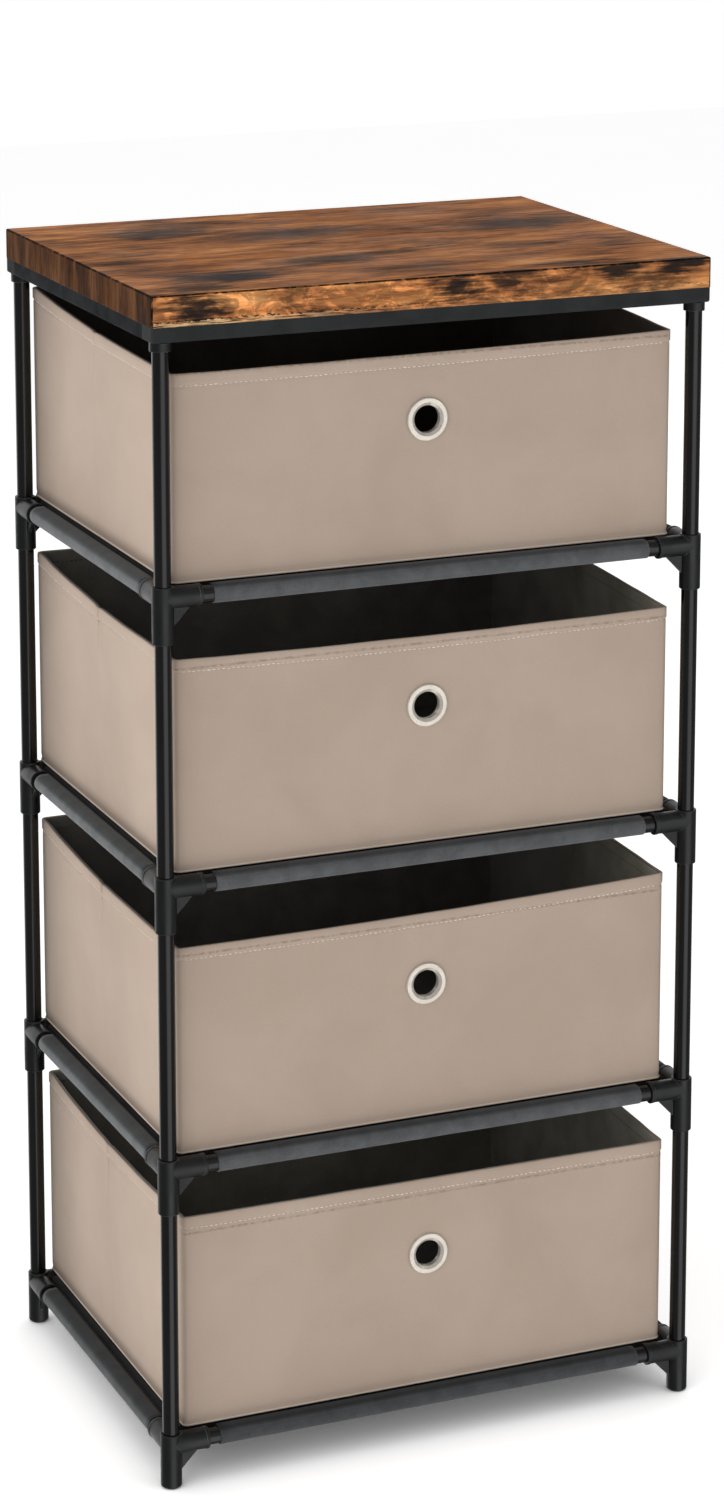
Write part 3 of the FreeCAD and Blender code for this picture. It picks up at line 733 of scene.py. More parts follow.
@dataclass(frozen=True)
class PowderCoat(Finish):
    """Black powder coat on steel tube: fine pebbling under a satin gloss."""

    colour: Rgb = (0.0022, 0.0023, 0.0022)

    def feeds(self, draft: Draft) -> dict[str, Feed]:
        """Add the coat.

        Args:
            draft: The material while it is built.

        Returns:
            What feeds each input of the shader.
        """
        tint = draft.mottled(self.colour, scaled(self.colour, 1.7), 14.0, 1100.0)
        pebbles = draft.graph.noise(draft.place, 1400.0, 2.0, 0.5)
        return {
            "Base Color": draft.dusted(tint, 0.25, (0.06, 0.06, 0.06)),
            "Roughness": draft.handled(0.15, 0.24, 22.0),
            "Normal": draft.graph.bump(pebbles, 0.00006, 0.35),
            "Specular IOR Level": 0.5}


@dataclass(frozen=True)
class MouldedPlastic(Finish):
    """Black injection-moulded plastic with a spark-eroded skin, and edges painted lighter: partly rubbed
    wear, partly a painted highlight.
    """

    colour: Rgb = (0.0036, 0.0041, 0.0044)
    roughness: float = 0.38
    edge_radius: float = 0.0009
    specular: float = 0.44
    # share of the lighter edge colour, which is partly wear and partly a painted highlight
    wear_and_shine: float = 0.65

    def feeds(self, draft: Draft) -> dict[str, Feed]:
        """Add the plastic's skin.

        Args:
            draft: The material while it is built.

        Returns:
            What feeds each input of the shader.
        """
        graph = draft.graph
        tint = draft.mottled(self.colour, scaled(self.colour, 1.45), 30.0, 900.0)
        wear_and_shine = draft.put(draft.effects.edge_wear, {"Radius": self.edge_radius, "Patches": 120.0})
        # edges painted a lighter grey: partly wear, partly a painted highlight
        retinted = graph.mix(graph.times(wear_and_shine["Wear"], self.wear_and_shine), tint, (0.16, 0.17, 0.18))
        grain = graph.noise(draft.place, 2300.0, 2.0, 0.6)
        return {
            "Base Color": draft.dusted(retinted, 0.2, (0.07, 0.07, 0.07)),
            "Roughness": draft.handled(self.roughness - 0.06, self.roughness + 0.1, 45.0),
            "Normal": graph.bump(grain, 0.00005, 0.5, wear_and_shine["Normal"]),
            "Specular IOR Level": self.specular}


@dataclass(frozen=True)
class DrawerCloth(Finish):
    """Beige woven cloth glued over card, with a faint sheen."""

    dark: Rgb = (0.425, 0.332, 0.266)
    light: Rgb = (0.47, 0.372, 0.302)
    foot: float = 42.85 * MM
    hem_line: float = 153.5 * MM
    crease_y: float = 6.0 * MM
    # strength of the painted shade along the foot of the side walls
    foot_shade: float = 0.75

    def feeds(self, draft: Draft) -> dict[str, Feed]:
        """Add the weave, the gathered hem and the painted light and shade.

        Args:
            draft: The material while it is built.

        Returns:
            What feeds each input of the shader.
        """
        graph, place = draft.graph, draft.place
        tint = draft.mottled(self.dark, self.light, 11.0, 1500.0)
        weave = draft.put(draft.effects.weave, {"Threads": 8200.0, "Slub": 0.5})
        shaded = graph.mix(graph.step(weave["Thread"], 0.05, 0.6, 0.16, 0.0), tint, scaled(self.dark, 0.55))
        _, y, z = graph.split(place)
        tiers = graph.math("DIVIDE", graph.math("SUBTRACT", z, self.foot), TIER_PITCH)
        height = graph.times(graph.math("FRACT", tiers), TIER_PITCH)
        hem, groove = self._hem_band(graph, place, height)
        gathers = graph.noise(graph.stretch(place, 1.0, 1.0, 0.42), 430.0, 2.0, 0.6)
        painted_lighting = self._painted_light_and_shade(graph, place, y, height, shaded)
        # painted shade in the groove that the hem's stitches pull
        groove_shaded = graph.mix(groove, painted_lighting, (0.7, 0.67, 0.64), "MULTIPLY")
        # painted highlight: lighter flecks on the crests of the hem's gathers
        hem_highlight = graph.times(hem, graph.step(gathers, 0.56, 0.7, 0.0, 0.14))
        creases = graph.noise(graph.stretch(place, 1.0, 1.0, 0.45), 46.0, 4.0, 0.55, 0.5)
        drawn = graph.bump(graph.times(gathers, hem), 0.0007, 0.5)
        soft = graph.bump(creases, 0.0011, 0.28, drawn)
        return {
            "Base Color": graph.mix(hem_highlight, groove_shaded, (0.62, 0.54, 0.47)),
            "Roughness": draft.handled(0.74, 0.9, 20.0),
            "Normal": graph.bump(weave["Height"], 0.00012, 0.5, soft),
            "Specular IOR Level": 0.22,
            "Sheen Weight": 0.12,
            "Sheen Roughness": 0.45}

    def _painted_light_and_shade(self, graph: Graph, place: Socket, y: Socket, height: Socket, colour: Feed) -> Socket:
        """Painted light and shade: side walls painted lighter in front and darker at the back, with painted
        shade along the foot and in the fold.

        Args:
            graph: The material's graph.
            place: Texture coordinate.
            y: Place along Y.
            height: Height above the drawer's foot.
            colour: Colour of the cloth.

        Returns:
            The colour with the change.
        """
        sideways = graph.math("ABSOLUTE", graph.split(graph.normal())[0])
        flank = graph.step(sideways, 0.6, 0.95)
        # painted light and shade on the side walls: lighter towards the front, darker towards the back
        back = graph.times(flank, graph.step(y, 0.06, 0.164))
        fore = graph.times(flank, graph.step(y, 0.0, -0.12))
        darker = graph.mix(back, colour, (0.66, 0.66, 0.65), "MULTIPLY")
        lighter = graph.mix(fore, darker, (1.14, 1.14, 1.14), "MULTIPLY")
        # painted shade along the foot of the side walls
        foot = graph.times(flank, graph.step(height, 0.001, 0.012, self.foot_shade, 0.0))
        foot_shaded = graph.mix(foot, lighter, (0.5, 0.48, 0.46), "MULTIPLY")
        # painted shade in the short fold on each side wall, just below the hem
        wander = graph.times(graph.math("SUBTRACT", graph.noise(place, 90.0, 2.0), 0.5), 0.0022)
        away = graph.away(graph.math("ADD", y, wander), self.crease_y)
        line = graph.times(graph.step(away, 0.0004, 0.0011, 0.9, 0.0),
                           graph.step(height, self.hem_line - 9.0 * MM, self.hem_line - 3.0 * MM))
        crease = graph.times(line, graph.step(sideways, 0.3, 0.6))
        return graph.mix(crease, foot_shaded, (0.3, 0.28, 0.26), "MULTIPLY")

    def _hem_band(self, graph: Graph, place: Socket, height: Socket) -> tuple[Socket, ...]:
        """Gathered band along the hem's stitches, the same on every tier.

        Args:
            graph: The material's graph.
            place: Texture coordinate.
            height: Height above the drawer's foot.

        Returns:
            Masks of the band, which carries a painted highlight on its gathers, and of the groove that the
            stitches pull, which carries painted shade.
        """
        away = graph.away(height, self.hem_line)
        wander = graph.times(graph.noise(place, 24.0, 2.0), 0.006)
        band = graph.step(graph.math("ADD", away, wander), 0.0045, 0.0105, 1.0, 0.0)
        pulls = graph.step(graph.noise(place, 210.0, 2.0, 0.6), 0.42, 0.6, 0.25, 0.95)
        sideways = graph.math("ABSOLUTE", graph.split(graph.normal())[0])
        pulls = graph.times(pulls, graph.step(sideways, 0.4, 0.9, 1.0, 0.2))
        return band, graph.times(graph.step(away, 0.0005, 0.0013, 1.0, 0.0), pulls)


@dataclass(frozen=True)
class NonWoven(Finish):
    """Non-woven cloth with pressed dots and loose surface fibres."""

    dark: Rgb = (0.118, 0.11, 0.094)
    light: Rgb = (0.178, 0.166, 0.145)
    fibre_tint: Rgb = (0.25, 0.235, 0.212)
    dots: float = 620.0
    sheen: float = 0.1
    cloud: float = 24.0

    def feeds(self, draft: Draft) -> dict[str, Feed]:
        """Add the dots, the fibres and the puckers.

        Args:
            draft: The material while it is built.

        Returns:
            What feeds each input of the shader.
        """
        graph = draft.graph
        tint = draft.mottled(self.dark, self.light, self.cloud, 1300.0)
        dots = draft.put(draft.effects.dimples, {"Dots": self.dots, "Fibre": 0.8})
        pressed = graph.mix(graph.step(dots["Dot"], 0.0, 1.0, 0.35, 0.0), tint, scaled(self.dark, 0.5))
        fuzzy = graph.mix(graph.step(dots["Fibres"], 0.55, 0.72, 0.0, 0.5), pressed, self.fibre_tint)
        soft = graph.bump(graph.noise(draft.place, 70.0, 3.0, 0.5, 0.4), 0.0008, 0.35)
        return {
            "Base Color": self._with_painted_light(graph, draft.place, fuzzy),
            "Roughness": draft.handled(0.8, 0.95, 26.0),
            "Normal": graph.bump(dots["Height"], 0.00018, 0.6, soft),
            "Specular IOR Level": 0.2,
            "Sheen Weight": self.sheen,
            "Sheen Roughness": 0.5}

    def _with_painted_light(self, graph: Graph, place: Socket, colour: Feed) -> Feed:
        """The colour with any painted light and shade; plain non-woven cloth adds none and keeps its own.
        """
        return colour


@dataclass(frozen=True)
class CasingCloth(NonWoven):
    """Grey casing cloth with painted light and shade: side casings painted paler, painted shade on the
    crest under the drawer, the lowest tier painted darkest.
    """

    rail_level: float = 34.0 * MM
    side_painted_light: Rgb = (1.5, 1.5, 1.47)
    crest_painted_shade: Rgb = (0.38, 0.39, 0.4)
    lowest_painted_shade: Rgb = (0.55, 0.56, 0.57)

    def _with_painted_light(self, graph: Graph, place: Socket, colour: Feed) -> Feed:
        """Paint the side casings lighter, and paint shade on the crests and on the lowest tier.

        Args:
            graph: The material's graph.
            place: Texture coordinate.
            colour: Colour of the new cloth.

        Returns:
            The changed colour.
        """
        x, _, z = graph.split(place)
        tiers = graph.math("DIVIDE", graph.math("SUBTRACT", z, self.rail_level), TIER_PITCH)
        over_rail = graph.math("SUBTRACT", graph.math("FRACT", graph.math("ADD", tiers, 0.5)), 0.5)
        height = graph.times(over_rail, TIER_PITCH)
        flank = graph.step(graph.math("ABSOLUTE", x), 0.188, 0.196)
        # painted light: the side casings lighter
        painted_lighting = graph.mix(flank, colour, self.side_painted_light, "MULTIPLY")
        # painted shade on each casing's crest, under the drawer's overhang
        crest = graph.step(graph.math("MULTIPLY_ADD", flank, 1.5 * MM, height), 4.0 * MM, 6.9 * MM)
        retinted = graph.mix(crest, painted_lighting, self.crest_painted_shade, "MULTIPLY")
        # painted shade: the lowest tier darker
        lowest = graph.step(z, 0.06, 0.12, 0.9, 0.0)
        return graph.mix(lowest, retinted, self.lowest_painted_shade, "MULTIPLY")


@dataclass(frozen=True)
class LiningCloth(NonWoven):
    """Dark lining cloth, with painted light on the front of the right wall, where light comes in over the
    front.
    """

    right_wall_light: float = 1.0
    right_wall_light_tint: Rgb = (2.4, 2.35, 2.15)

    def _with_painted_light(self, graph: Graph, place: Socket, colour: Feed) -> Feed:
        """Paint light on the front of the right wall.

        Args:
            graph: The material's graph.
            place: Texture coordinate.
            colour: Colour of the new cloth.

        Returns:
            The changed colour.
        """
        right = graph.step(graph.split(graph.normal())[0], -0.9, -0.5, self.right_wall_light, 0.0)
        lit = graph.times(right, graph.step(graph.split(place)[1], -0.15, 0.06, 1.0, 0.0))
        return graph.mix(lit, colour, self.right_wall_light_tint, "MULTIPLY")


@dataclass(frozen=True)
class Thread(Finish):
    """Twisted sewing thread."""

    colour: Rgb = (0.86, 0.78, 0.69)

    def feeds(self, draft: Draft) -> dict[str, Feed]:
        """Add the twist.

        Args:
            draft: The material while it is built.

        Returns:
            What feeds each input of the shader.
        """
        twist = draft.graph.add(
            "ShaderNodeTexWave", {"Vector": draft.place, "Scale": 900.0, "Distortion": 1.0},
            wave_type="BANDS", bands_direction="DIAGONAL")
        return {
            "Base Color": draft.mottled(scaled(self.colour, 0.75), self.colour, 60.0, 2400.0),
            "Roughness": draft.handled(0.5, 0.7, 200.0),
            "Normal": draft.graph.bump(twist.outputs["Fac"], 0.0001, 0.6),
            "Sheen Weight": 0.15}


@dataclass(frozen=True)
class NickelPlate(Finish):
    """Bright plated metal with a slight haze and fine turning marks."""

    colour: Rgb = (0.74, 0.68, 0.6)
    low: float = 0.26
    high: float = 0.38
    metallic: float = 0.6

    def feeds(self, draft: Draft) -> dict[str, Feed]:
        """Add the plate and its marks.

        Args:
            draft: The material while it is built.

        Returns:
            What feeds each input of the shader.
        """
        marks = draft.graph.noise(draft.graph.stretch(draft.place, 1.0, 1.0, 9.0), 1600.0, 2.0, 0.6)
        return {
            "Base Color": draft.mottled(scaled(self.colour, 0.86), self.colour, 120.0, 2600.0),
            "Roughness": draft.handled(self.low, self.high, 240.0),
            "Normal": draft.graph.bump(marks, 0.00002, 0.3),
            "Metallic": self.metallic}


@dataclass(frozen=True)
class StudioPaper(Finish):
    """Pale seamless floor, lit from within so that it stays white."""

    colour: Rgb = (0.93, 0.93, 0.93)
    shade: Rgb = (0.1, 0.1, 0.1)
    glow: float = 0.55
    shade_reach: float = 0.1

    def feeds(self, draft: Draft) -> dict[str, Feed]:
        """Add the paper, its glow and its shade near the dresser.

        Args:
            draft: The material while it is built.

        Returns:
            What feeds each input of the shader.
        """
        open_air = draft.graph.add(
            "ShaderNodeAmbientOcclusion", {"Distance": self.shade_reach}, samples=8).outputs["AO"]
        return {
            "Base Color": draft.mottled(scaled(self.colour, 0.985), self.colour, 3.0, 300.0),
            "Roughness": 0.9,
            "Specular IOR Level": 0.1,
            "Emission Color": draft.graph.mix(
                draft.graph.step(open_air, 0.1, 0.88), self.shade, (1.0, 1.0, 1.0)),
            "Emission Strength": self.glow}


# ---- meshes
@dataclass
class Shape:
    """Points and faces of a mesh while it is made."""

    points: list[tuple[float, float, float]] = field(default_factory=list)
    faces: list[tuple[int, ...]] = field(default_factory=list)

    def point(self, place: Sequence[float]) -> int:
        """Add a point and give its number."""
        self.points.append((place[0], place[1], place[2]))
        return len(self.points) - 1

    def row(self, places: Sequence[Sequence[float]]) -> list[int]:
        """Add a row of points and give their numbers."""
        return [self.point(place) for place in places]

    def face(self, *corners: int) -> None:
        """Add a face, leaving out one that has shrunk to a line."""
        kept = [corner for index, corner in enumerate(corners) if corner != corners[index - 1]]
        if len(kept) > 2:
            self.faces.append(tuple(kept))

    def skin(self, rows: Sequence[Sequence[int]], closed: bool,
             keep: Callable[[int, int], bool] | None = None) -> None:
        """Join rows of points with four-cornered faces.

        Args:
            rows: Point numbers, row by row.
            closed: Whether each row joins its last point to its first.
            keep: Says by row and column whether a face is made.
        """
        for level in range(len(rows) - 1):
            lower, upper = rows[level], rows[level + 1]
            last = len(lower) if closed else len(lower) - 1
            for index in range(last):
                if keep is None or keep(level, index):
                    following = (index + 1) % len(lower)
                    self.face(lower[index], lower[following], upper[following], upper[index])

    def tube(self, path: Sequence[Vector], radii: Sequence[float], sides: int, flat: Vector) -> None:
        """Add a closed round strand along a path.

        Args:
            path: Points of the middle line.
            radii: Radius at each point.
            sides: Number of sides.
            flat: Direction that starts the round.
        """
        rows = []
        for index, (centre, radius) in enumerate(zip(path, radii)):
            ahead = path[min(index + 1, len(path) - 1)] - path[max(index - 1, 0)]
            across = ahead.cross(flat).normalized()
            rise = across.cross(ahead).normalized()
            rows.append(self.row([
                centre + radius * (math.cos(turn) * across + math.sin(turn) * rise)
                for turn in (2.0 * math.pi * side / sides for side in range(sides))]))
        self.skin(rows, closed=True)
        self.faces.append(tuple(reversed(rows[0])))
        self.faces.append(tuple(rows[-1]))

    def build(self, name: str, material: Material, weld: float = 0.0) -> Piece:
        """Make the object.

        Args:
            name: Name of the piece.
            material: Its finish.
            weld: Distance under which points are merged, or 0 for none.

        Returns:
            The object, with its faces turned outwards and shaded smooth.
        """
        mesh = bpy.data.meshes.new(name)
        mesh.from_pydata(self.points, [], self.faces)
        work = bmesh.new()
        work.from_mesh(mesh)
        if weld > 0.0:
            bmesh.ops.remove_doubles(work, verts=work.verts, dist=weld)
        bmesh.ops.recalc_face_normals(work, faces=work.faces)
        work.to_mesh(mesh)
        work.free()
        mesh.materials.append(material)
        mesh.shade_smooth()
        piece = bpy.data.objects.new(name, mesh)
        bpy.context.scene.collection.objects.link(piece)
        return piece


def bake_modifiers(piece: Piece) -> None:
    """Turn a piece's modifiers into mesh.

    Args:
        piece: The object.
    """
    graph = bpy.context.evaluated_depsgraph_get()
    baked = bpy.data.meshes.new_from_object(piece.evaluated_get(graph))
    piece.modifiers.clear()
    piece.data = baked
    baked.shade_smooth()


# ---- fabric drawer
class Side(Enum):
    """Wall of a drawer."""

    FRONT = "front"
    RIGHT = "right"
    BACK = "back"
    LEFT = "left"
    CORNER = "corner"


@dataclass(frozen=True)
class Station:
    """One upright line of a drawer's wall."""

    x: float
    y: float
    out_x: float
    out_y: float
    side: Side
    along: float


@dataclass(frozen=True)
class Rim:
    """How far a drawer's rim stands above its CAD level at each corner, and its sag along the front."""

    front_left: float
    front_right: float
    back_left: float
    back_right: float
    sag: float

    def level(self, across: float, behind: float) -> float:
        """Height of the rim at a place on the drawer's plan.

        Args:
            across: Share of the width, from the left.
            behind: Share of the depth, from the front.

        Returns:
            Distance upwards, in metres.
        """
        front = self.front_left + across * (self.front_right - self.front_left)
        back = self.back_left + across * (self.back_right - self.back_left)
        return front + behind * (back - front)


@dataclass
class FabricDrawer:
    """Cloth drawer: cover with a stitched hem, lining, base board, eyelet and washer."""

    tier: int
    corner_radius: float = 4.2 * MM
    cover_thickness: float = 1.5 * MM
    lining_thickness: float = 1.6 * MM
    cloth_gap: float = 0.1 * MM
    hole_radius: float = 11.75 * MM
    hole_patch: float = 14.5 * MM
    patch_steps: int = 8
    eyelet_height: float = 105.0 * MM
    hem_depth: float = 9.5 * MM
    hem_turn: float = 8.0 * MM
    hem_swell: float = 0.55 * MM
    fold_radius: float = 1.0 * MM
    foot_drop: float = 1.4 * MM
    piping_radius: float = 0.95 * MM
    stitch_length: float = 2.9 * MM
    stitch_pitch: float = 3.9 * MM
    thread_radius: float = 0.38 * MM
    rims: tuple[Rim, ...] = (
        Rim(-8.3 * MM, -4.2 * MM, 5.4 * MM, 7.0 * MM, 0.9 * MM),
        Rim(-1.2 * MM, -1.2 * MM, 9.6 * MM, 9.6 * MM, 1.9 * MM),
        Rim(-2.5 * MM, 5.2 * MM, 7.0 * MM, 9.6 * MM, 2.4 * MM),
        Rim(5.0 * MM, 3.8 * MM, 9.0 * MM, 9.6 * MM, 0.0))
    side_dip: float = 1.8 * MM
    side_bulge: float = 3.0 * MM
    low: Vector = field(init=False)
    high: Vector = field(init=False)
    stations: list[Station] = field(init=False)

    def __post_init__(self) -> None:
        """Take the drawer's place from the CAD cover and lay out its walls."""
        self.low, self.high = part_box(f"drawer_{self.tier}_cover")
        self.stations = self._lay_out(4.0 * MM)

    @property
    def body(self) -> str:
        """Body that the drawer's pieces ride on."""
        return f"drawer_{self.tier}"

    @property
    def middle(self) -> Vector:
        """Middle of the drawer's box."""
        return (self.low + self.high) / 2.0

    @property
    def hole_place(self) -> float:
        """Height of the eyelet's centre."""
        return self.low.z + self.eyelet_height

    def _run(self, half: float, step: float, dense: float) -> list[float]:
        """Places along a wall, closer together towards its middle.

        Args:
            half: Half the length of the wall's flat part.
            step: Spacing away from the middle.
            dense: Half the length of the closer part.

        Returns:
            Places from -half to half.
        """
        inner = [dense * (2.0 * index / self.patch_steps - 1.0) for index in range(self.patch_steps + 1)]
        outer = spread(dense, half, step)[1:]
        return [-place for place in reversed(outer)] + inner + outer

    def _lay_out(self, step: float) -> list[Station]:
        """Upright lines all round the drawer, in order.

        Args:
            step: Spacing along the flat walls.

        Returns:
            The stations, from the left end of the front round past the right wall.
        """
        radius = self.corner_radius
        core_low = Vector((self.low.x + radius, self.low.y + radius))
        core_high = Vector((self.high.x - radius, self.high.y - radius))
        middle = self.middle
        half_x, half_y = (core_high - core_low) / 2.0
        front = self._run(half_x, step, self.hole_patch)
        flank = self._run(half_y, step, 6.0 * MM)
        stations: list[Station] = []
        turns = 5

        def corner(x: float, y: float, start: float) -> None:
            """Add the stations of a rounded corner.

            Args:
                x: Middle of the round along X.
                y: Middle of the round along Y.
                start: Direction that the round starts from.
            """
            for index in range(1, turns):
                angle = start + 0.5 * math.pi * index / turns
                stations.append(Station(x, y, math.cos(angle), math.sin(angle), Side.CORNER, 0.0))

        for place in front:
            stations.append(Station(middle.x + place, core_low.y, 0.0, -1.0, Side.FRONT, place))
        corner(core_high.x, core_low.y, -0.5 * math.pi)
        for place in flank:
            stations.append(Station(core_high.x, middle.y + place, 1.0, 0.0, Side.RIGHT, place))
        corner(core_high.x, core_high.y, 0.0)
        for place in front:
            stations.append(Station(middle.x - place, core_high.y, 0.0, 1.0, Side.BACK, place))
        corner(core_low.x, core_high.y, 0.5 * math.pi)
        for place in flank:
            stations.append(Station(core_low.x, middle.y - place, -1.0, 0.0, Side.LEFT, place))
        corner(core_low.x, core_low.y, math.pi)
        return stations

    def _half_run(self, side: Side) -> float:
        """Half the length of a wall."""
        size = self.high - self.low
        return (size.x if side in (Side.FRONT, Side.BACK) else size.y) / 2.0

    def swell(self, station: Station, height: float) -> float:
        """How far the wall stands out of its plane.

        Args:
            station: Upright line of the wall.
            height: Height of the point.

        Returns:
            Distance outwards, in metres.
        """
        if station.side is Side.CORNER:
            return 0.0
        rise = (height - self.low.z) / (self.high.z - self.low.z)
        half = self._half_run(station.side)
        free = smooth(half - abs(station.along), self.corner_radius, 45.0 * MM)
        lifted = smooth(rise, 0.0, 0.25)
        offsets = {Side.FRONT: 0.0, Side.RIGHT: 1.3, Side.BACK: 2.1, Side.LEFT: 3.9}
        seed = 3.7 * self.tier + offsets[station.side]
        waves = 0.32 * MM * ripple(station.along, 0.6 * height, 0.0, 70.0 * MM, seed)
        waves += 0.12 * MM * ripple(station.along, height, 0.0, 22.0 * MM, seed + 5.0)
        if station.side is Side.FRONT:
            reach = math.hypot(station.along, height - self.hole_place)
            ring = smooth(reach, 17.0 * MM, 40.0 * MM)
            pulled = -0.35 * MM * smooth(reach, 16.0 * MM, 19.0 * MM)
            pulled *= 1.0 - smooth(reach, 19.0 * MM, 34.0 * MM)
            return free * lifted * ring * (waves - 0.25 * MM) + pulled
        if station.side is Side.BACK:
            return free * lifted * (waves + 0.5 * MM * smooth(rise, 0.3, 1.0))
        bow = self.side_bulge * math.cos(0.5 * math.pi * station.along / half) * smooth(rise, 0.2, 0.8)
        fold = math.exp(-((station.along / (1.1 * MM)) ** 2))
        ridges = math.exp(-(((abs(station.along) - 4.5 * MM) / (2.6 * MM)) ** 2))
        crease = (0.15 + 0.85 * smooth(rise, 0.74, 0.94)) * (0.4 * MM * ridges - 1.9 * MM * fold)
        return free * lifted * (waves + bow + crease)

    def drop(self, station: Station, height: float) -> float:
        """How far a point near the top hangs below its level.

        Args:
            station: Upright line of the wall.
            height: Height of the point.

        Returns:
            Distance downwards, in metres.
        """
        rise = (height - self.low.z) / (self.high.z - self.low.z)
        weight = smooth(rise, 0.55, 1.0)
        rim = self.rims[self.tier - 1]
        across = (station.x - self.low.x) / (self.high.x - self.low.x)
        behind = (station.y - self.low.y) / (self.high.y - self.low.y)
        stand = smooth(rise, 0.72, 0.93) * rim.level(across, behind)
        if station.side is Side.CORNER:
            return -stand
        half = self._half_run(station.side)
        seed = 6.1 * self.tier + (1.0 if station.side in (Side.FRONT, Side.LEFT) else 4.0)
        wander = 0.35 * MM * (1.0 + ripple(station.along, 0.0, 0.0, 45.0 * MM, seed))
        wander *= smooth(half - abs(station.along), self.corner_radius, 35.0 * MM)
        if station.side is Side.FRONT:
            return weight * (wander + rim.sag * (1.0 - (station.along / half) ** 2)) - stand
        if station.side is Side.BACK:
            return weight * wander - stand
        dip = self.side_dip * (1.0 - abs(station.along) / half)
        notch = 1.7 * MM * math.exp(-((station.along / (2.4 * MM)) ** 2))
        return weight * (wander + dip + notch) - stand

    def wall_point(self, station: Station, height: float, inset: float, proud: float = 0.0) -> Vector:
        """A point of the wall.

        Args:
            station: Upright line.
            height: Height before the top's dip.
            inset: Distance in from the drawer's outline.
            proud: Extra distance out, beyond the wall's own swell.

        Returns:
            The point.
        """
        out = self.corner_radius - inset + self.swell(station, height) + proud
        return Vector((station.x + out * station.out_x, station.y + out * station.out_y,
                       height - self.drop(station, height)))

    def _hem(self, station: Station, height: float) -> float:
        """Extra thickness of the cover's folded hem, and the pull of its stitches and of the foot's seam.

        Args:
            station: Upright line.
            height: Height of the point.

        Returns:
            Distance outwards, in metres.
        """
        line = self.high.z - self.hem_depth
        above = smooth(height, line - 0.2 * MM, line + 1.6 * MM)
        groove = math.exp(-(((height - line) / (0.9 * MM)) ** 2))
        seed = 2.9 * self.tier + (0.0 if station.side in (Side.FRONT, Side.BACK) else 7.0)
        place = station.along if station.side is not Side.CORNER else 0.0
        pucker = ripple(place, 0.0, 0.0, 9.0 * MM, seed)
        near = math.exp(-(((height - line) / (4.5 * MM)) ** 2))
        seam = math.exp(-(((height - self.low.z - 2.2 * MM) / (1.3 * MM)) ** 2))
        return self.hem_swell * above - 0.42 * MM * groove + 0.2 * MM * pucker * near - 0.5 * MM * seam

    def _levels(self, foot: float, head: float) -> list[float]:
        """Heights of the wall's rows, with the finger hole's and the hem's own rows.

        Args:
            foot: Lowest row.
            head: Highest row.

        Returns:
            Heights in order.
        """
        low_hole, high_hole = self.hole_place - self.hole_patch, self.hole_place + self.hole_patch
        line = self.high.z - self.hem_depth
        rows = [foot, foot + 1.2 * MM, foot + 2.4 * MM, foot + 3.8 * MM]
        rows += spread(foot + 5.2 * MM, low_hole, 6.5 * MM)
        rows += spread(low_hole, high_hole, 2.0 * self.hole_patch / self.patch_steps)[1:]
        rows += spread(high_hole, line - 3.0 * MM, 6.5 * MM)[1:]
        rows += [line + offset * MM for offset in (-1.6, -0.8, 0.0, 0.8, 1.6, 3.4, 5.6)]
        rows += [head]
        return rows

    def _off_patch(self, levels: Sequence[float]) -> Callable[[int, int], bool]:
        """Test that leaves the faces of the finger hole's patch out of a wall.

        Args:
            levels: Heights of the rows.

        Returns:
            A test by row and column that is true where a face is made.
        """
        reach = self.hole_patch + TINY

        def keep(level: int, column: int) -> bool:
            """Whether a face is made.

            Args:
                level: Row of the face.
                column: Its place in the row.

            Returns:
                False inside the patch.
            """
            station = self.stations[column]
            following = self.stations[(column + 1) % len(self.stations)]
            on_front = station.side is Side.FRONT and following.side is Side.FRONT
            if level + 1 >= len(levels) or not on_front:
                return True
            inside_x = abs(station.along) < reach and abs(following.along) < reach
            inside_z = abs(levels[level] - self.hole_place) < reach
            inside_z = inside_z and abs(levels[level + 1] - self.hole_place) < reach
            return not (inside_x and inside_z)

        return keep

    def _patch(self, shape: Shape, rows: Sequence[Sequence[int]], levels: Sequence[float], inset: float,
               radius: float) -> list[int]:
        """Fill the square round the finger hole with rings down to the hole.

        Args:
            shape: Mesh that is being made.
            rows: Rows of the wall.
            levels: Heights of the rows.
            inset: How far in from the outline this skin lies.
            radius: Radius of the hole.

        Returns:
            Point numbers round the hole.
        """
        reach = self.hole_patch + TINY
        columns = [index for index, station in enumerate(self.stations)
                   if station.side is Side.FRONT and abs(station.along) < reach]
        heights = [index for index, level in enumerate(levels) if abs(level - self.hole_place) < reach]
        border = [(heights[0], column) for column in columns[:-1]]
        border += [(height, columns[-1]) for height in heights[:-1]]
        border += [(heights[-1], column) for column in reversed(columns[1:])]
        border += [(height, columns[0]) for height in reversed(heights[1:])]
        rim = [rows[level][column] for level, column in border]
        plane = self.low.y + inset
        rings = [rim]
        for share in (0.4, 0.75, 1.0):
            ring = []
            for number in rim:
                start = Vector(shape.points[number])
                turn = math.atan2(start.z - self.hole_place, start.x - self.middle.x)
                end = Vector((self.middle.x + radius * math.cos(turn), plane,
                              self.hole_place + radius * math.sin(turn)))
                ring.append(shape.point(start.lerp(end, share)))
            rings.append(ring)
        shape.skin(rings, closed=True)
        return rings[-1]

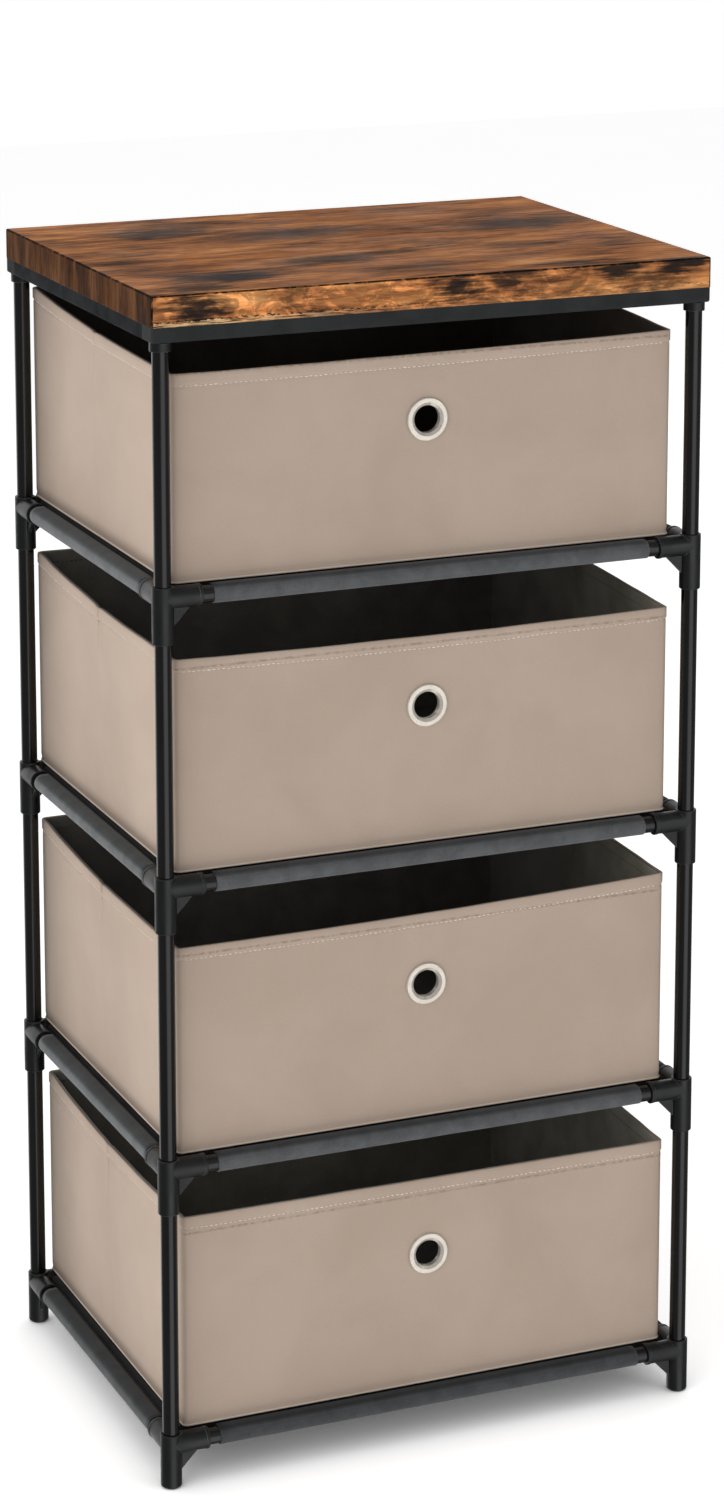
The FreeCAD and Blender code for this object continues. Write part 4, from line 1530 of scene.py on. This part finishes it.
    def _shell(self, name: str, inset: float, thickness: float, foot: float, head: float,
               proud: Callable[[Station, float], float], material: Material) -> Piece:
        """Open-topped box of cloth with an even thickness.

        Args:
            name: Name of the piece.
            inset: Distance of its outer skin from the drawer's outline.
            thickness: Thickness of the cloth.
            foot: Height of its underside.
            head: Height of its top edge.
            proud: Extra distance out of a point of the outer skin.
            material: Its finish.

        Returns:
            The piece.
        """
        shape = Shape()
        fold = self.fold_radius
        inner = inset + thickness
        floor = foot + thickness
        bend = thickness / 2.0
        levels = self._levels(foot + fold, head - bend)
        outer_rows = [
            shape.row([self.wall_point(station, height, inset, proud(station, height))
                       for station in self.stations]) for height in levels]
        keep = self._off_patch(levels)
        shape.skin(outer_rows, closed=True, keep=keep)
        inner_levels = self._levels(floor + fold, head - bend)
        inner_rows = [
            shape.row([self.wall_point(station, height, inner) for station in self.stations])
            for height in inner_levels]
        shape.skin(inner_rows, closed=True, keep=self._off_patch(inner_levels))
        crown = []
        for turn in (0.25, 0.5, 0.75):
            angle = math.pi * turn
            reach = inset + bend - bend * math.cos(angle)
            lift = head - bend + bend * math.sin(angle)
            crown.append(shape.row([
                self.wall_point(station, lift, reach, proud(station, lift) * (1.0 - turn))
                for station in self.stations]))
        shape.skin([outer_rows[-1], *crown, inner_rows[-1]], closed=True)
        for wall, edge, level in ((outer_rows[0], inset, foot), (inner_rows[0], inner, floor)):
            turns = []
            for angle in (0.3 * math.pi, 0.5 * math.pi * 0.8, 0.5 * math.pi):
                out = max(0.1 * MM, self.corner_radius - edge - fold * (1.0 - math.cos(angle)))
                drop = level + fold * (1.0 - math.sin(angle))
                turns.append(shape.row([
                    (station.x + out * station.out_x, station.y + out * station.out_y, drop)
                    for station in self.stations]))
            shape.skin([wall, *turns], closed=True)
            shape.faces.append(tuple(turns[-1]))
        outer_hole = self._patch(shape, outer_rows, levels, inset, self.hole_radius)
        inner_hole = self._patch(shape, inner_rows, inner_levels, inner, self.hole_radius)
        shape.skin([outer_hole, inner_hole], closed=True)
        piece = shape.build(name, material)
        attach(piece, self.body)
        return piece

    def _stitches(self, name: str, inset: float, outward: float, material: Material) -> Piece:
        """Row of stitches round the drawer, below its top edge.

        Args:
            name: Name of the piece.
            inset: Distance of the cloth's skin from the drawer's outline.
            outward: 1 on the outside of the drawer, -1 on the inside.
            material: The thread's finish.

        Returns:
            The piece.
        """
        shape = Shape()
        dice = random.Random(10 * self.tier + int(outward))
        line = self.high.z - self.hem_depth
        sides = {
            Side.FRONT: (0.0, -1.0), Side.RIGHT: (1.0, 0.0), Side.BACK: (0.0, 1.0), Side.LEFT: (-1.0, 0.0)}
        middle = self.middle
        radius = self.corner_radius
        for side, (out_x, out_y) in sides.items():
            half = self._half_run(side) - radius
            flank = side in (Side.RIGHT, Side.LEFT)
            core = (self.high.x - radius if out_x > 0 else self.low.x + radius,
                    self.high.y - radius if out_y > 0 else self.low.y + radius)
            count = int(2.0 * (half - 1.5 * MM) / self.stitch_pitch)
            for index in range(count):
                start = (index - count / 2.0) * self.stitch_pitch + dice.uniform(0.0, 0.4) * MM
                length = self.stitch_length * dice.uniform(0.7, 1.0)
                slant = dice.uniform(-0.25, 0.25) * MM
                wobble = dice.uniform(-0.18, 0.18) * MM
                girth = self.thread_radius * dice.uniform(0.75, 1.2) * (0.7 if flank else 1.05)
                path = []
                for share in (0.0, 0.2, 0.5, 0.8, 1.0):
                    along = start + share * length
                    reach = -along if side in (Side.BACK, Side.LEFT) else along
                    station = Station(
                        core[0] if flank else middle.x + reach, middle.y + reach if flank else core[1],
                        out_x, out_y, side, along)
                    arch = (0.2 if flank else 0.46) * MM * math.sin(math.pi * share) - 0.06 * MM
                    hem = self._hem(station, line) if outward > 0 else 0.0
                    path.append(self.wall_point(
                        station, line + wobble + share * slant, inset, hem + outward * arch))
                widths = [girth * part for part in (0.45, 0.9, 1.0, 0.9, 0.45)]
                shape.tube(path, widths, THREAD_SIDES, Vector((0.0, 0.0, 1.0)))
        piece = shape.build(name, material)
        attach(piece, self.body)
        return piece

    def _piping(self, material: Material) -> Piece:
        """Cloth-covered cord sewn along the drawer's bottom edge.

        Args:
            material: Its finish.

        Returns:
            The piece.
        """
        shape = Shape()
        reach = self.corner_radius - 0.6 * self.piping_radius
        height = self.low.z - self.foot_drop + self.piping_radius
        rows = []
        for number, station in enumerate(self.stations):
            swell = ripple(0.004 * number, 0.0, 0.0, 14.0 * MM, self.tier)
            girth = self.piping_radius * (1.0 + 0.08 * swell)
            row = []
            for turn in (0.25 * math.pi * index for index in range(8)):
                out = reach + girth * math.cos(turn)
                row.append((station.x + out * station.out_x, station.y + out * station.out_y,
                            height + girth * math.sin(turn)))
            rows.append(shape.row(row))
        shape.skin([*rows, rows[0]], closed=True)
        piece = shape.build(f"drawer_{self.tier}_piping", material)
        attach(piece, self.body)
        return piece

    def build(self, finishes: "Finishes") -> list[Piece]:
        """Make the drawer's cloth pieces and dress its CAD nodes.

        Args:
            finishes: The materials.

        Returns:
            The new pieces.
        """
        tier = self.tier
        cover = self._shell(
            f"drawer_{tier}_cloth", 0.0, self.cover_thickness, self.low.z - self.foot_drop, self.high.z,
            self._hem, finishes.drawer_cloth)
        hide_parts(f"drawer_{tier}_cover")
        inset = self.cover_thickness + self.cloth_gap
        lining = self._shell(
            f"drawer_{tier}_inner_cloth", inset, self.lining_thickness, self.low.z + inset,
            self.high.z - 0.35 * MM, lambda station, height: 0.0, finishes.linings[tier])
        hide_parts(f"drawer_{tier}_lining")
        hem = self._stitches(f"drawer_{tier}_hem_stitches", 0.0, 1.0, finishes.beige_thread)
        inner_hem = self._stitches(
            f"drawer_{tier}_inner_stitches", inset + self.lining_thickness, -1.0, finishes.dark_thread)
        piping = self._piping(finishes.piping)
        dress(f"drawer_{tier}_base_board", finishes.base_board)
        dress(f"drawer_{tier}_eyelet", finishes.nickel)
        dress(f"drawer_{tier}_eyelet_washer", finishes.nickel)
        return [cover, lining, hem, inner_hem, piping]


# ---- shelf cloth
@dataclass
class ShelfCloth:
    """Cloth sheet stretched over one tier, with a sewn casing round each of its four rails."""

    tier: int
    thickness: float = 0.6 * MM
    casing_radius: float = 6.72 * MM
    sheet_level: float = 6.9 * MM
    seam_inset: float = 8.0 * MM
    groove: float = 3.4 * MM
    casing_reach: float = 4.6 * MM
    flap: float = 8.0 * MM
    flap_room: float = 2.0 * MM
    grey_height: float = 3.0 * MM
    corner_hem: float = 6.5 * MM
    sag: float = 3.2 * MM
    arm_clearance: float = 9.2 * MM
    inset_x: float = 38.0 * MM
    inset_y: float = 33.0 * MM
    stitch_length: float = 3.4 * MM
    stitch_pitch: float = 5.0 * MM
    thread_radius: float = 0.26 * MM
    half_x: float = field(init=False)
    half_y: float = field(init=False)
    level: float = field(init=False)

    def __post_init__(self) -> None:
        """Take the rails' places from the CAD."""
        left_low, left_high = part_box(f"rail_{self.tier}_left")
        front_low, front_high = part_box(f"rail_{self.tier}_front")
        self.half_x = abs(left_low.x + left_high.x) / 2.0
        self.half_y = abs(front_low.y + front_high.y) / 2.0
        self.level = (front_low.z + front_high.z) / 2.0

    @property
    def inner_x(self) -> float:
        """Half the width of the flat panel, up to the connector arms."""
        return self.half_x - self.arm_clearance

    @property
    def inner_y(self) -> float:
        """Half the depth of the flat panel, up to the connector arms."""
        return self.half_y - self.arm_clearance

    @property
    def run_x(self) -> float:
        """Half the length of the front and back casings."""
        return self.half_x - self.inset_x

    @property
    def run_y(self) -> float:
        """Half the length of the side casings."""
        return self.half_y - self.inset_y

    def _casing_profile(self) -> list[tuple[float, float, float]]:
        """Section of a casing, from the flap's free end round the rail to its crest.

        Returns:
            Distance inwards from the rail's axis, height above it, and share of the puckers.
        """
        radius = self.casing_radius
        seam_height = self.sheet_level - self.groove - 1.15 * self.thickness
        reach = math.hypot(self.seam_inset, seam_height)
        tangent = math.atan2(seam_height, self.seam_inset) - math.acos(radius / reach)
        points = [(self.seam_inset + self.flap, seam_height - 0.4 * MM, 0.0),
                  (self.seam_inset + 0.5 * self.flap, seam_height - 0.15 * MM, 0.0),
                  (self.seam_inset, seam_height, 0.0)]
        foot = (radius * math.cos(tangent), radius * math.sin(tangent))
        for share in (0.3, 0.65):
            points.append((self.seam_inset + share * (foot[0] - self.seam_inset),
                           seam_height + share * (foot[1] - seam_height), 0.7))
        start, end = tangent, -1.5 * math.pi
        for index in range(15):
            angle = start + (end - start) * index / 14.0
            puckers = 1.0 - smooth(index, 9.0, 14.0)
            points.append((radius * math.cos(angle), radius * math.sin(angle), puckers))
        return points

    def _sheet_height(self, x: float, y: float) -> float:
        """Height of the sheet above the rails' axes.

        Args:
            x: Place along X.
            y: Place along Y.

        Returns:
            Height of the cloth's middle surface, in metres.
        """
        edge = min(self.half_x - abs(x), self.half_y - abs(y))
        climb = smooth(edge, 0.0, 8.0 * MM)
        rise = self.casing_radius + (self.sheet_level - self.casing_radius) * climb
        rise -= self.groove * math.exp(-(((edge - self.seam_inset) / (1.9 * MM)) ** 2))
        hollow = smooth(edge, 14.0 * MM, 120.0 * MM)
        seed = 4.4 * self.tier
        folds = 0.55 * MM * ripple(x, y, 0.0, 55.0 * MM, seed)
        folds += 0.2 * MM * ripple(x, y, 0.0, 18.0 * MM, seed + 2.0)
        return rise - self.sag * hollow + smooth(edge, 12.0 * MM, 40.0 * MM) * (folds - 0.5 * MM)

    def _pucker(self, along: float, angle_share: float, seed: float) -> float:
        """How far a casing stands off its rail.

        Args:
            along: Place along the rail.
            angle_share: Place round the rail.
            seed: Number of the rail.

        Returns:
            Distance outwards, in metres.
        """
        slant = along + 14.0 * MM * angle_share
        broad = ripple(slant, 0.0, 0.0, 26.0 * MM, seed)
        fine = ripple(slant, angle_share * 8.0 * MM, 0.0, 8.0 * MM, seed + 3.0)
        return 0.12 * MM * (1.0 + broad) + 0.08 * MM * fine

    def _strip(self, shape: Shape, side: Side) -> None:
        """Cloth from the middle panel's border over one rail and back under the sheet.

        Args:
            shape: Mesh that is being made.
            side: Which rail.
        """
        wide = side in (Side.FRONT, Side.BACK)
        run = self.run_x if wide else self.run_y
        half = self.half_y if wide else self.half_x
        border = self.arm_clearance
        sign = -1.0 if side in (Side.FRONT, Side.LEFT) else 1.0
        seed = 1.9 * self.tier + {Side.FRONT: 0.0, Side.RIGHT: 2.2, Side.BACK: 4.1, Side.LEFT: 5.3}[side]
        profile = self._casing_profile()
        rows = []
        for along in spread(-run, run, 5.5 * MM):
            places = []
            for index, (inward, height, share) in enumerate(profile):
                out = self._pucker(along, index / len(profile), seed) * share
                scale = 1.0 + out / math.hypot(inward, height)
                places.append((inward * scale, height * scale))
            for inward in spread(0.0, border, 1.2 * MM)[1:]:
                x, y = (along, sign * (half - inward)) if wide else (sign * (half - inward), along)
                places.append((inward, self._sheet_height(x, y)))
            rows.append(shape.row([
                ((along, sign * (half - inward), self.level + height) if wide
                 else (sign * (half - inward), along, self.level + height))
                for inward, height in places]))
        shape.skin(rows, closed=False)

    def _stitches(self, material: Material) -> Piece:
        """Stitches that close the four casings, on top of the sheet.

        Args:
            material: The thread's finish.

        Returns:
            The piece.
        """
        shape = Shape()
        for wide, run, half in ((True, self.run_x, self.half_y), (False, self.run_y, self.half_x)):
            for sign in (-1.0, 1.0):
                across = sign * (half - self.seam_inset)
                count = int(2.0 * (run - 2.0 * MM) / self.stitch_pitch)
                for index in range(count):
                    start = (index - count / 2.0) * self.stitch_pitch
                    path = []
                    for share in (0.0, 0.25, 0.5, 0.75, 1.0):
                        along = start + share * self.stitch_length
                        x, y = (along, across) if wide else (across, along)
                        lift = self._sheet_height(x, y) + self.thickness / 2.0
                        arch = 0.2 * MM * math.sin(math.pi * share) - 0.12 * MM
                        path.append(Vector((x, y, self.level + lift + arch)))
                    side = Vector((0.0, 1.0, 0.0)) if wide else Vector((1.0, 0.0, 0.0))
                    widths = [self.thread_radius * part for part in (0.4, 0.9, 1.0, 0.9, 0.4)]
                    shape.tube(path, widths, THREAD_SIDES, side)
        piece = shape.build(f"shelf_{self.tier}_stitches", material)
        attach(piece, "frame")
        return piece

    def build(self, finishes: "Finishes") -> list[Piece]:
        """Make the cloth and its stitches.

        Args:
            finishes: The materials.

        Returns:
            The new pieces.
        """
        shape = Shape()
        columns = self._panel_places(self.inner_x, self.run_x)
        lines = self._panel_places(self.inner_y, self.run_y)
        shape.skin([
            shape.row([(x, y, self.level + self._sheet_height(x, y)) for x in columns])
            for y in lines], closed=False)
        self._corner_hems(shape, columns, lines)
        for side in (Side.FRONT, Side.RIGHT, Side.BACK, Side.LEFT):
            self._strip(shape, side)
        piece = shape.build(f"shelf_{self.tier}_cloth", finishes.casing_cloth, weld=0.02 * MM)
        # painted shade: the sheet between the casings gets black cloth, standing in for the shade under the
        # drawers
        piece.data.materials.append(finishes.shade_sheet_cloth)
        for polygon in piece.data.polygons:
            polygon.material_index = int(self._is_sheet(polygon.center))
        solid = piece.modifiers.new("thickness", "SOLIDIFY")
        solid.thickness = self.thickness
        solid.offset = 0.0
        bake_modifiers(piece)
        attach(piece, "frame")
        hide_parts(f"shelf_cloth_{self.tier}")
        stitches = self._stitches(finishes.grey_thread)
        return [piece, stitches]

    def _corner_hems(self, shape: Shape, columns: Sequence[float], lines: Sequence[float]) -> None:
        """Short hems that hang from the sheet's free edges beside the connector arms.

        Args:
            shape: Mesh that is being made.
            columns: Places of the sheet's points along X.
            lines: Places of the sheet's points along Y.
        """
        for sign_x in (-1.0, 1.0):
            for sign_y in (-1.0, 1.0):
                outer_x = [x for x in columns if sign_x * x > self.run_x - TINY]
                outer_y = [y for y in lines if sign_y * y > self.run_y - TINY]
                edges = ([(x, sign_y * self.inner_y) for x in outer_x],
                         [(sign_x * self.inner_x, y) for y in outer_y])
                for edge in edges:
                    upper = [(x, y, self.level + self._sheet_height(x, y)) for x, y in edge]
                    lower = [(x - 0.3 * MM * sign_x, y - 0.3 * MM * sign_y, z - self.corner_hem)
                             for x, y, z in upper]
                    shape.skin([shape.row(upper), shape.row(lower)], closed=False)

    def _is_sheet(self, place: Vector) -> bool:
        """Whether a place gets the black sheet cloth, painted black as shade, and not the grey casings."""
        edge = min(self.half_x - abs(place.x), self.half_y - abs(place.y))
        above = edge > self.casing_reach and place.z > self.level + self.grey_height
        above = above or edge > self.seam_inset + self.flap + self.flap_room
        return above or (abs(place.x) > self.run_x and abs(place.y) > self.run_y)

    @staticmethod
    def _panel_places(inner: float, run: float) -> list[float]:
        """Places of the panel's rows: those of the casing, and more out to its corners.

        Args:
            inner: Half the size of the panel.
            run: Half the length of the casing.

        Returns:
            Places from -inner to inner.
        """
        middle = spread(-run, run, 5.5 * MM)
        outer = spread(run, inner - 3.2 * MM, 5.5 * MM)[1:]
        outer += [inner - 1.8 * MM, inner - 0.8 * MM, inner]
        return [-place for place in reversed(outer)] + middle + outer


# ---- frame, top and studio
@dataclass
class Finishes:
    """Every material of the dresser, built once."""

    effects: Effects
    wood: Material = field(init=False)
    rim: Material = field(init=False)
    left_rim_painted_shade: Material = field(init=False)
    connector: Material = field(init=False)
    tube: Material = field(init=False)
    screw: Material = field(init=False)
    casing_cloth: Material = field(init=False)
    shade_sheet_cloth: Material = field(init=False)
    drawer_cloth: Material = field(init=False)
    linings: dict[int, Material] = field(init=False)
    base_board: Material = field(init=False)
    piping: Material = field(init=False)
    nickel: Material = field(init=False)
    beige_thread: Material = field(init=False)
    dark_thread: Material = field(init=False)
    grey_thread: Material = field(init=False)
    floor: Material = field(init=False)

    def __post_init__(self) -> None:
        """Build the materials."""
        effects = self.effects
        low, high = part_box("top_board")
        stains = (
            Stain(-0.188, -0.178, 0.023, 0.017),
            Stain(-0.178, -0.147, 0.030, 0.020, 0.9),
            Stain(-0.146, -0.112, 0.052, 0.024),
            Stain(-0.114, -0.174, 0.014, 0.012, 0.6),
            Stain(0.014, -0.178, 0.024, 0.012),
            Stain(0.060, -0.171, 0.024, 0.009, 0.95),
            Stain(0.106, -0.181, 0.020, 0.006, 0.6),
            Stain(0.146, -0.172, 0.029, 0.011),
            Stain(0.200, -0.170, 0.024, 0.013),
            Stain(0.178, -0.184, 0.030, 0.006, 0.8),
            Stain(0.088, -0.186, 0.034, 0.004, 0.6),
            Stain(0.122, -0.148, 0.040, 0.010, 0.9),
            Stain(0.010, -0.120, 0.070, 0.014, 0.7),
            Stain(-0.045, -0.068, 0.045, 0.022, 0.85),
            Stain(-0.122, 0.096, 0.050, 0.030, 0.9),
            Stain(-0.030, 0.060, 0.080, 0.030, 0.8),
            Stain(-0.095, 0.128, 0.060, 0.018, 0.7),
            Stain(-0.196, -0.030, 0.022, 0.034, 0.5),
            Stain(0.160, 0.040, 0.055, 0.030, 0.85),
            Stain(0.120, -0.060, 0.040, 0.016, 0.6),
        )
        self.wood = PrintedWood("rustic wood print", low, high, stains).material(effects)
        self.rim = MouldedPlastic(
            "rim plastic", (0.021, 0.0228, 0.0232), 0.44, 0.0007, 0.01, 0.25).material(effects)
        # painted shade: the left rim bar gets a darker copy of the rim plastic
        self.left_rim_painted_shade = MouldedPlastic(
            "side rim plastic", (0.0052, 0.0062, 0.0072), 0.44, 0.0007, 0.012, 0.25).material(effects)
        self.connector = MouldedPlastic("connector plastic").material(effects)
        self.tube = PowderCoat("black powder coat").material(effects)
        self.screw = NickelPlate("zinc plated steel", (0.5, 0.5, 0.5), 0.28, 0.45, 1.0).material(effects)
        self.casing_cloth = CasingCloth(
            "grey casing cloth", (0.068, 0.0725, 0.076), (0.098, 0.104, 0.108), (0.14, 0.146, 0.152),
            700.0, 0.12, 70.0).material(effects)
        # painted shade: black sheet cloth standing in for the shade under the drawers
        self.shade_sheet_cloth = NonWoven(
            "sheet cloth painted black as shade", (0.008, 0.0082, 0.0086), (0.015, 0.0153, 0.016), (0.026, 0.0265, 0.0275),
            700.0, 0.05, 30.0).material(effects)
        self.drawer_cloth = DrawerCloth("beige drawer cloth").material(effects)
        self.piping = DrawerCloth(
            "beige piping", (0.56, 0.46, 0.38), (0.65, 0.54, 0.45), foot_shade=0.0).material(effects)
        # painted light and shade of each drawer's lining: its overall brightness and the painted light on
        # its right wall
        lining_painted_light = ((0.55, 0.1), (1.0, 0.8), (1.0, 1.0), (2.1, 0.1))
        self.linings = {
            tier: self._lining(tier, factor, right_wall_light).material(effects)
            for tier, (factor, right_wall_light) in zip(TIERS, lining_painted_light)}
        self.base_board = NonWoven(
            "covered base board", (0.1, 0.092, 0.08), (0.15, 0.139, 0.122), (0.21, 0.2, 0.18),
            520.0, 0.06).material(effects)
        self.nickel = NickelPlate("nickel plate").material(effects)
        self.beige_thread = Thread("beige thread").material(effects)
        self.dark_thread = Thread("dark thread", (0.05, 0.046, 0.04)).material(effects)
        self.grey_thread = Thread("grey thread", (0.09, 0.092, 0.095)).material(effects)
        self.floor = StudioPaper("studio paper").material(effects)

    @staticmethod
    def _lining(tier: int, factor: float, right_wall_light: float) -> LiningCloth:
        """The lining cloth of one drawer, with its brightness painted to stand in for the light inside it.

        Args:
            tier: The drawer.
            factor: How much lighter the cloth is painted than the plain shade, as painted light.
            right_wall_light: How much painted light falls on the front of its right wall.

        Returns:
            The finish.
        """
        plain = LiningCloth(f"dark lining cloth {tier}")
        return replace(plain, dark=scaled(plain.dark, factor), light=scaled(plain.light, factor),
                       fibre_tint=scaled(plain.fibre_tint, factor), right_wall_light=right_wall_light)


def dress(node: str, material: Material) -> None:
    """Give a CAD node its finish.

    Args:
        node: Name of the node.
        material: The finish.
    """
    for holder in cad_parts[node].material_slots:
        holder.material = material


@dataclass
class Top:
    """Wood-look board on its black rim, with the sockets that take the posts."""

    rims: tuple[str, ...] = SIDES
    corners: tuple[str, ...] = CORNERS

    def build(self, finishes: Finishes) -> list[str]:
        """Dress the top's CAD nodes.

        Args:
            finishes: The materials.

        Returns:
            The names of the dressed nodes.
        """
        rims = [f"top_rim_{side}" for side in self.rims]
        sockets = [f"post_socket_{corner}" for corner in self.corners]
        dress("top_board", finishes.wood)
        for node in rims:
            # the left rim bar takes the copy with painted shade
            dress(node, finishes.left_rim_painted_shade if node.endswith("left") else finishes.rim)
        for node in sockets:
            dress(node, finishes.connector)
        for node in ("board_screws", "socket_screws"):
            dress(node, finishes.screw)
        return ["top_board", *rims, *sockets, "board_screws", "socket_screws"]


@dataclass
class TubeFrame:
    """Black steel tubes pushed into moulded corner connectors."""

    corners: tuple[str, ...] = CORNERS
    sides: tuple[str, ...] = SIDES

    def build(self, finishes: Finishes) -> list[str]:
        """Dress the frame's CAD nodes.

        Args:
            finishes: The materials.

        Returns:
            The names of the dressed nodes.
        """
        tubes = [f"post_{corner}" for corner in self.corners]
        tubes += [f"rail_{tier}_{side}" for tier in TIERS for side in self.sides]
        connectors = [f"corner_connectors_{tier}" for tier in TIERS[:-1]] + ["foot_connectors"]
        for node in tubes:
            dress(node, finishes.tube)
        for node in connectors:
            dress(node, finishes.connector)
        return [*tubes, *connectors]


@dataclass
class Studio:
    """Pale floor, soft lights and the camera."""

    camera_place: Vector = field(default_factory=lambda: Vector((-1.157181, -2.771109, 1.400065)))
    yaw: float = 0.398453
    pitch: float = 0.193960
    lens: float = 94.955
    shift_down: float = 0.25
    floor_size: float = 14.0
    floor_drop: float = 0.2 * MM
    daylight: float = 0.45
    dark_side: float = 0.2
    panel_glow: float = 1.2
    panel_bearing: float = 0.14

    def build(self, finishes: Finishes) -> None:
        """Make the whole studio.

        Args:
            finishes: The materials.
        """
        self._camera()
        self._floor(finishes.floor)
        self._world()
        self._light("key light", (-3.6, -1.5, 1.7), (0.0, 0.0, 0.45), 4.6, 98.0, (1.0, 0.992, 0.98))
        self._light("fill light", (2.5, -2.9, 1.3), (0.0, 0.0, 0.45), 1.3, 14.0, (0.97, 0.985, 1.0), True)
        self._light("overhead light", (0.0, 0.3, 3.4), (0.0, 0.0, 0.0), 3.0, 9.0, (1.0, 1.0, 1.0))
        self._light("back light", (2.4, 2.4, 1.5), (0.0, 0.0, 0.45), 3.0, 10.0, (1.0, 1.0, 1.0))
        view = bpy.context.scene.view_settings
        view.view_transform = "Standard"
        view.look = "None"
        view.exposure = 0.0
        view.gamma = 1.0

    def _camera(self) -> None:
        """Camera in front of the dresser, to its left."""
        data = bpy.data.cameras.new("camera")
        data.lens = self.lens
        data.sensor_width = 36.0
        data.shift_y = -self.shift_down
        data.clip_start, data.clip_end = 0.05, 60.0
        camera = bpy.data.objects.new("camera", data)
        camera.location = self.camera_place
        camera.rotation_euler = (math.pi / 2.0 - self.pitch, 0.0, -self.yaw)
        bpy.context.scene.collection.objects.link(camera)
        bpy.context.scene.camera = camera

    def _floor(self, material: Material) -> None:
        """Wide flat floor.

        Args:
            material: Its finish.
        """
        half = self.floor_size / 2.0
        shape = Shape()
        places = spread(-half, half, 1.0)
        rows = [shape.row([(x, y, -self.floor_drop) for x in places]) for y in places]
        shape.skin(rows, closed=False)
        floor = shape.build("studio_floor", material)
        floor.visible_glossy = False

    def _world(self) -> None:
        """Even white surroundings; glossy surfaces mirror a soft panel in front and the back wall."""
        world = bpy.data.worlds.new("studio")
        bpy.context.scene.world = world
        world.use_nodes = True
        world.node_tree.nodes.clear()
        graph = Graph(world.node_tree)
        rays = graph.add("ShaderNodeLightPath").outputs
        around = graph.add("ShaderNodeTexCoord").outputs["Generated"]
        east, north, up = graph.split(around)
        bearing = graph.math("ARCTAN2", east, graph.times(north, -1.0))
        off_panel = graph.away(bearing, self.panel_bearing)
        panel = graph.times(graph.step(off_panel, 0.3, 0.62, self.panel_glow, 0.0),
                            graph.step(up, -0.05, 0.3, 1.0, 0.15))
        wall = graph.step(north, 0.55, 0.9)
        mirrored = graph.math("ADD", graph.math("ADD", panel, wall), self.dark_side - self.daylight)
        lit = graph.math("MULTIPLY_ADD", rays["Is Glossy Ray"], mirrored, self.daylight)
        strength = graph.math("MULTIPLY_ADD", rays["Is Camera Ray"], 1.0 - self.daylight, lit)
        background = graph.add("ShaderNodeBackground", {"Color": (1.0, 1.0, 1.0), "Strength": strength})
        output = graph.add("ShaderNodeOutputWorld")
        graph.tree.links.new(background.outputs[0], output.inputs["Surface"])

    def _light(self, name: str, place: Sequence[float], target: Sequence[float], size: float,
               power: float, colour: Rgb, mirrored: bool = False) -> None:
        """Add one large soft light.

        Args:
            name: Its name.
            place: Where it hangs.
            target: What it points at.
            size: Side of its square, in metres.
            power: Watts.
            colour: Its tint.
            mirrored: Whether glossy surfaces mirror it.
        """
        data = bpy.data.lights.new(name, "AREA")
        data.shape = "SQUARE"
        data.size = size
        data.energy = power
        data.color = colour
        light = bpy.data.objects.new(name, data)
        light.location = place
        light.visible_glossy = mirrored
        light.rotation_euler = (Vector(target) - Vector(place)).to_track_quat("-Z", "Y").to_euler()
        bpy.context.scene.collection.objects.link(light)


def main() -> None:
    """Build the sub-assemblies in order."""
    logging.basicConfig(level=logging.INFO, format="%(message)s")
    finishes = Finishes(Effects())
    Studio().build(finishes)
    log.info("studio: floor, lights and camera")
    for assembly in (Top(), TubeFrame()):
        for node in assembly.build(finishes):
            log.info("dressed %s", node)
    for tier in TIERS:
        for piece in ShelfCloth(tier).build(finishes):
            log.info("made %s with %d faces", piece.name, len(piece.data.polygons))
    for tier in TIERS:
        for piece in FabricDrawer(tier).build(finishes):
            log.info("made %s with %d faces", piece.name, len(piece.data.polygons))


if __name__ == "__main__":
    main()
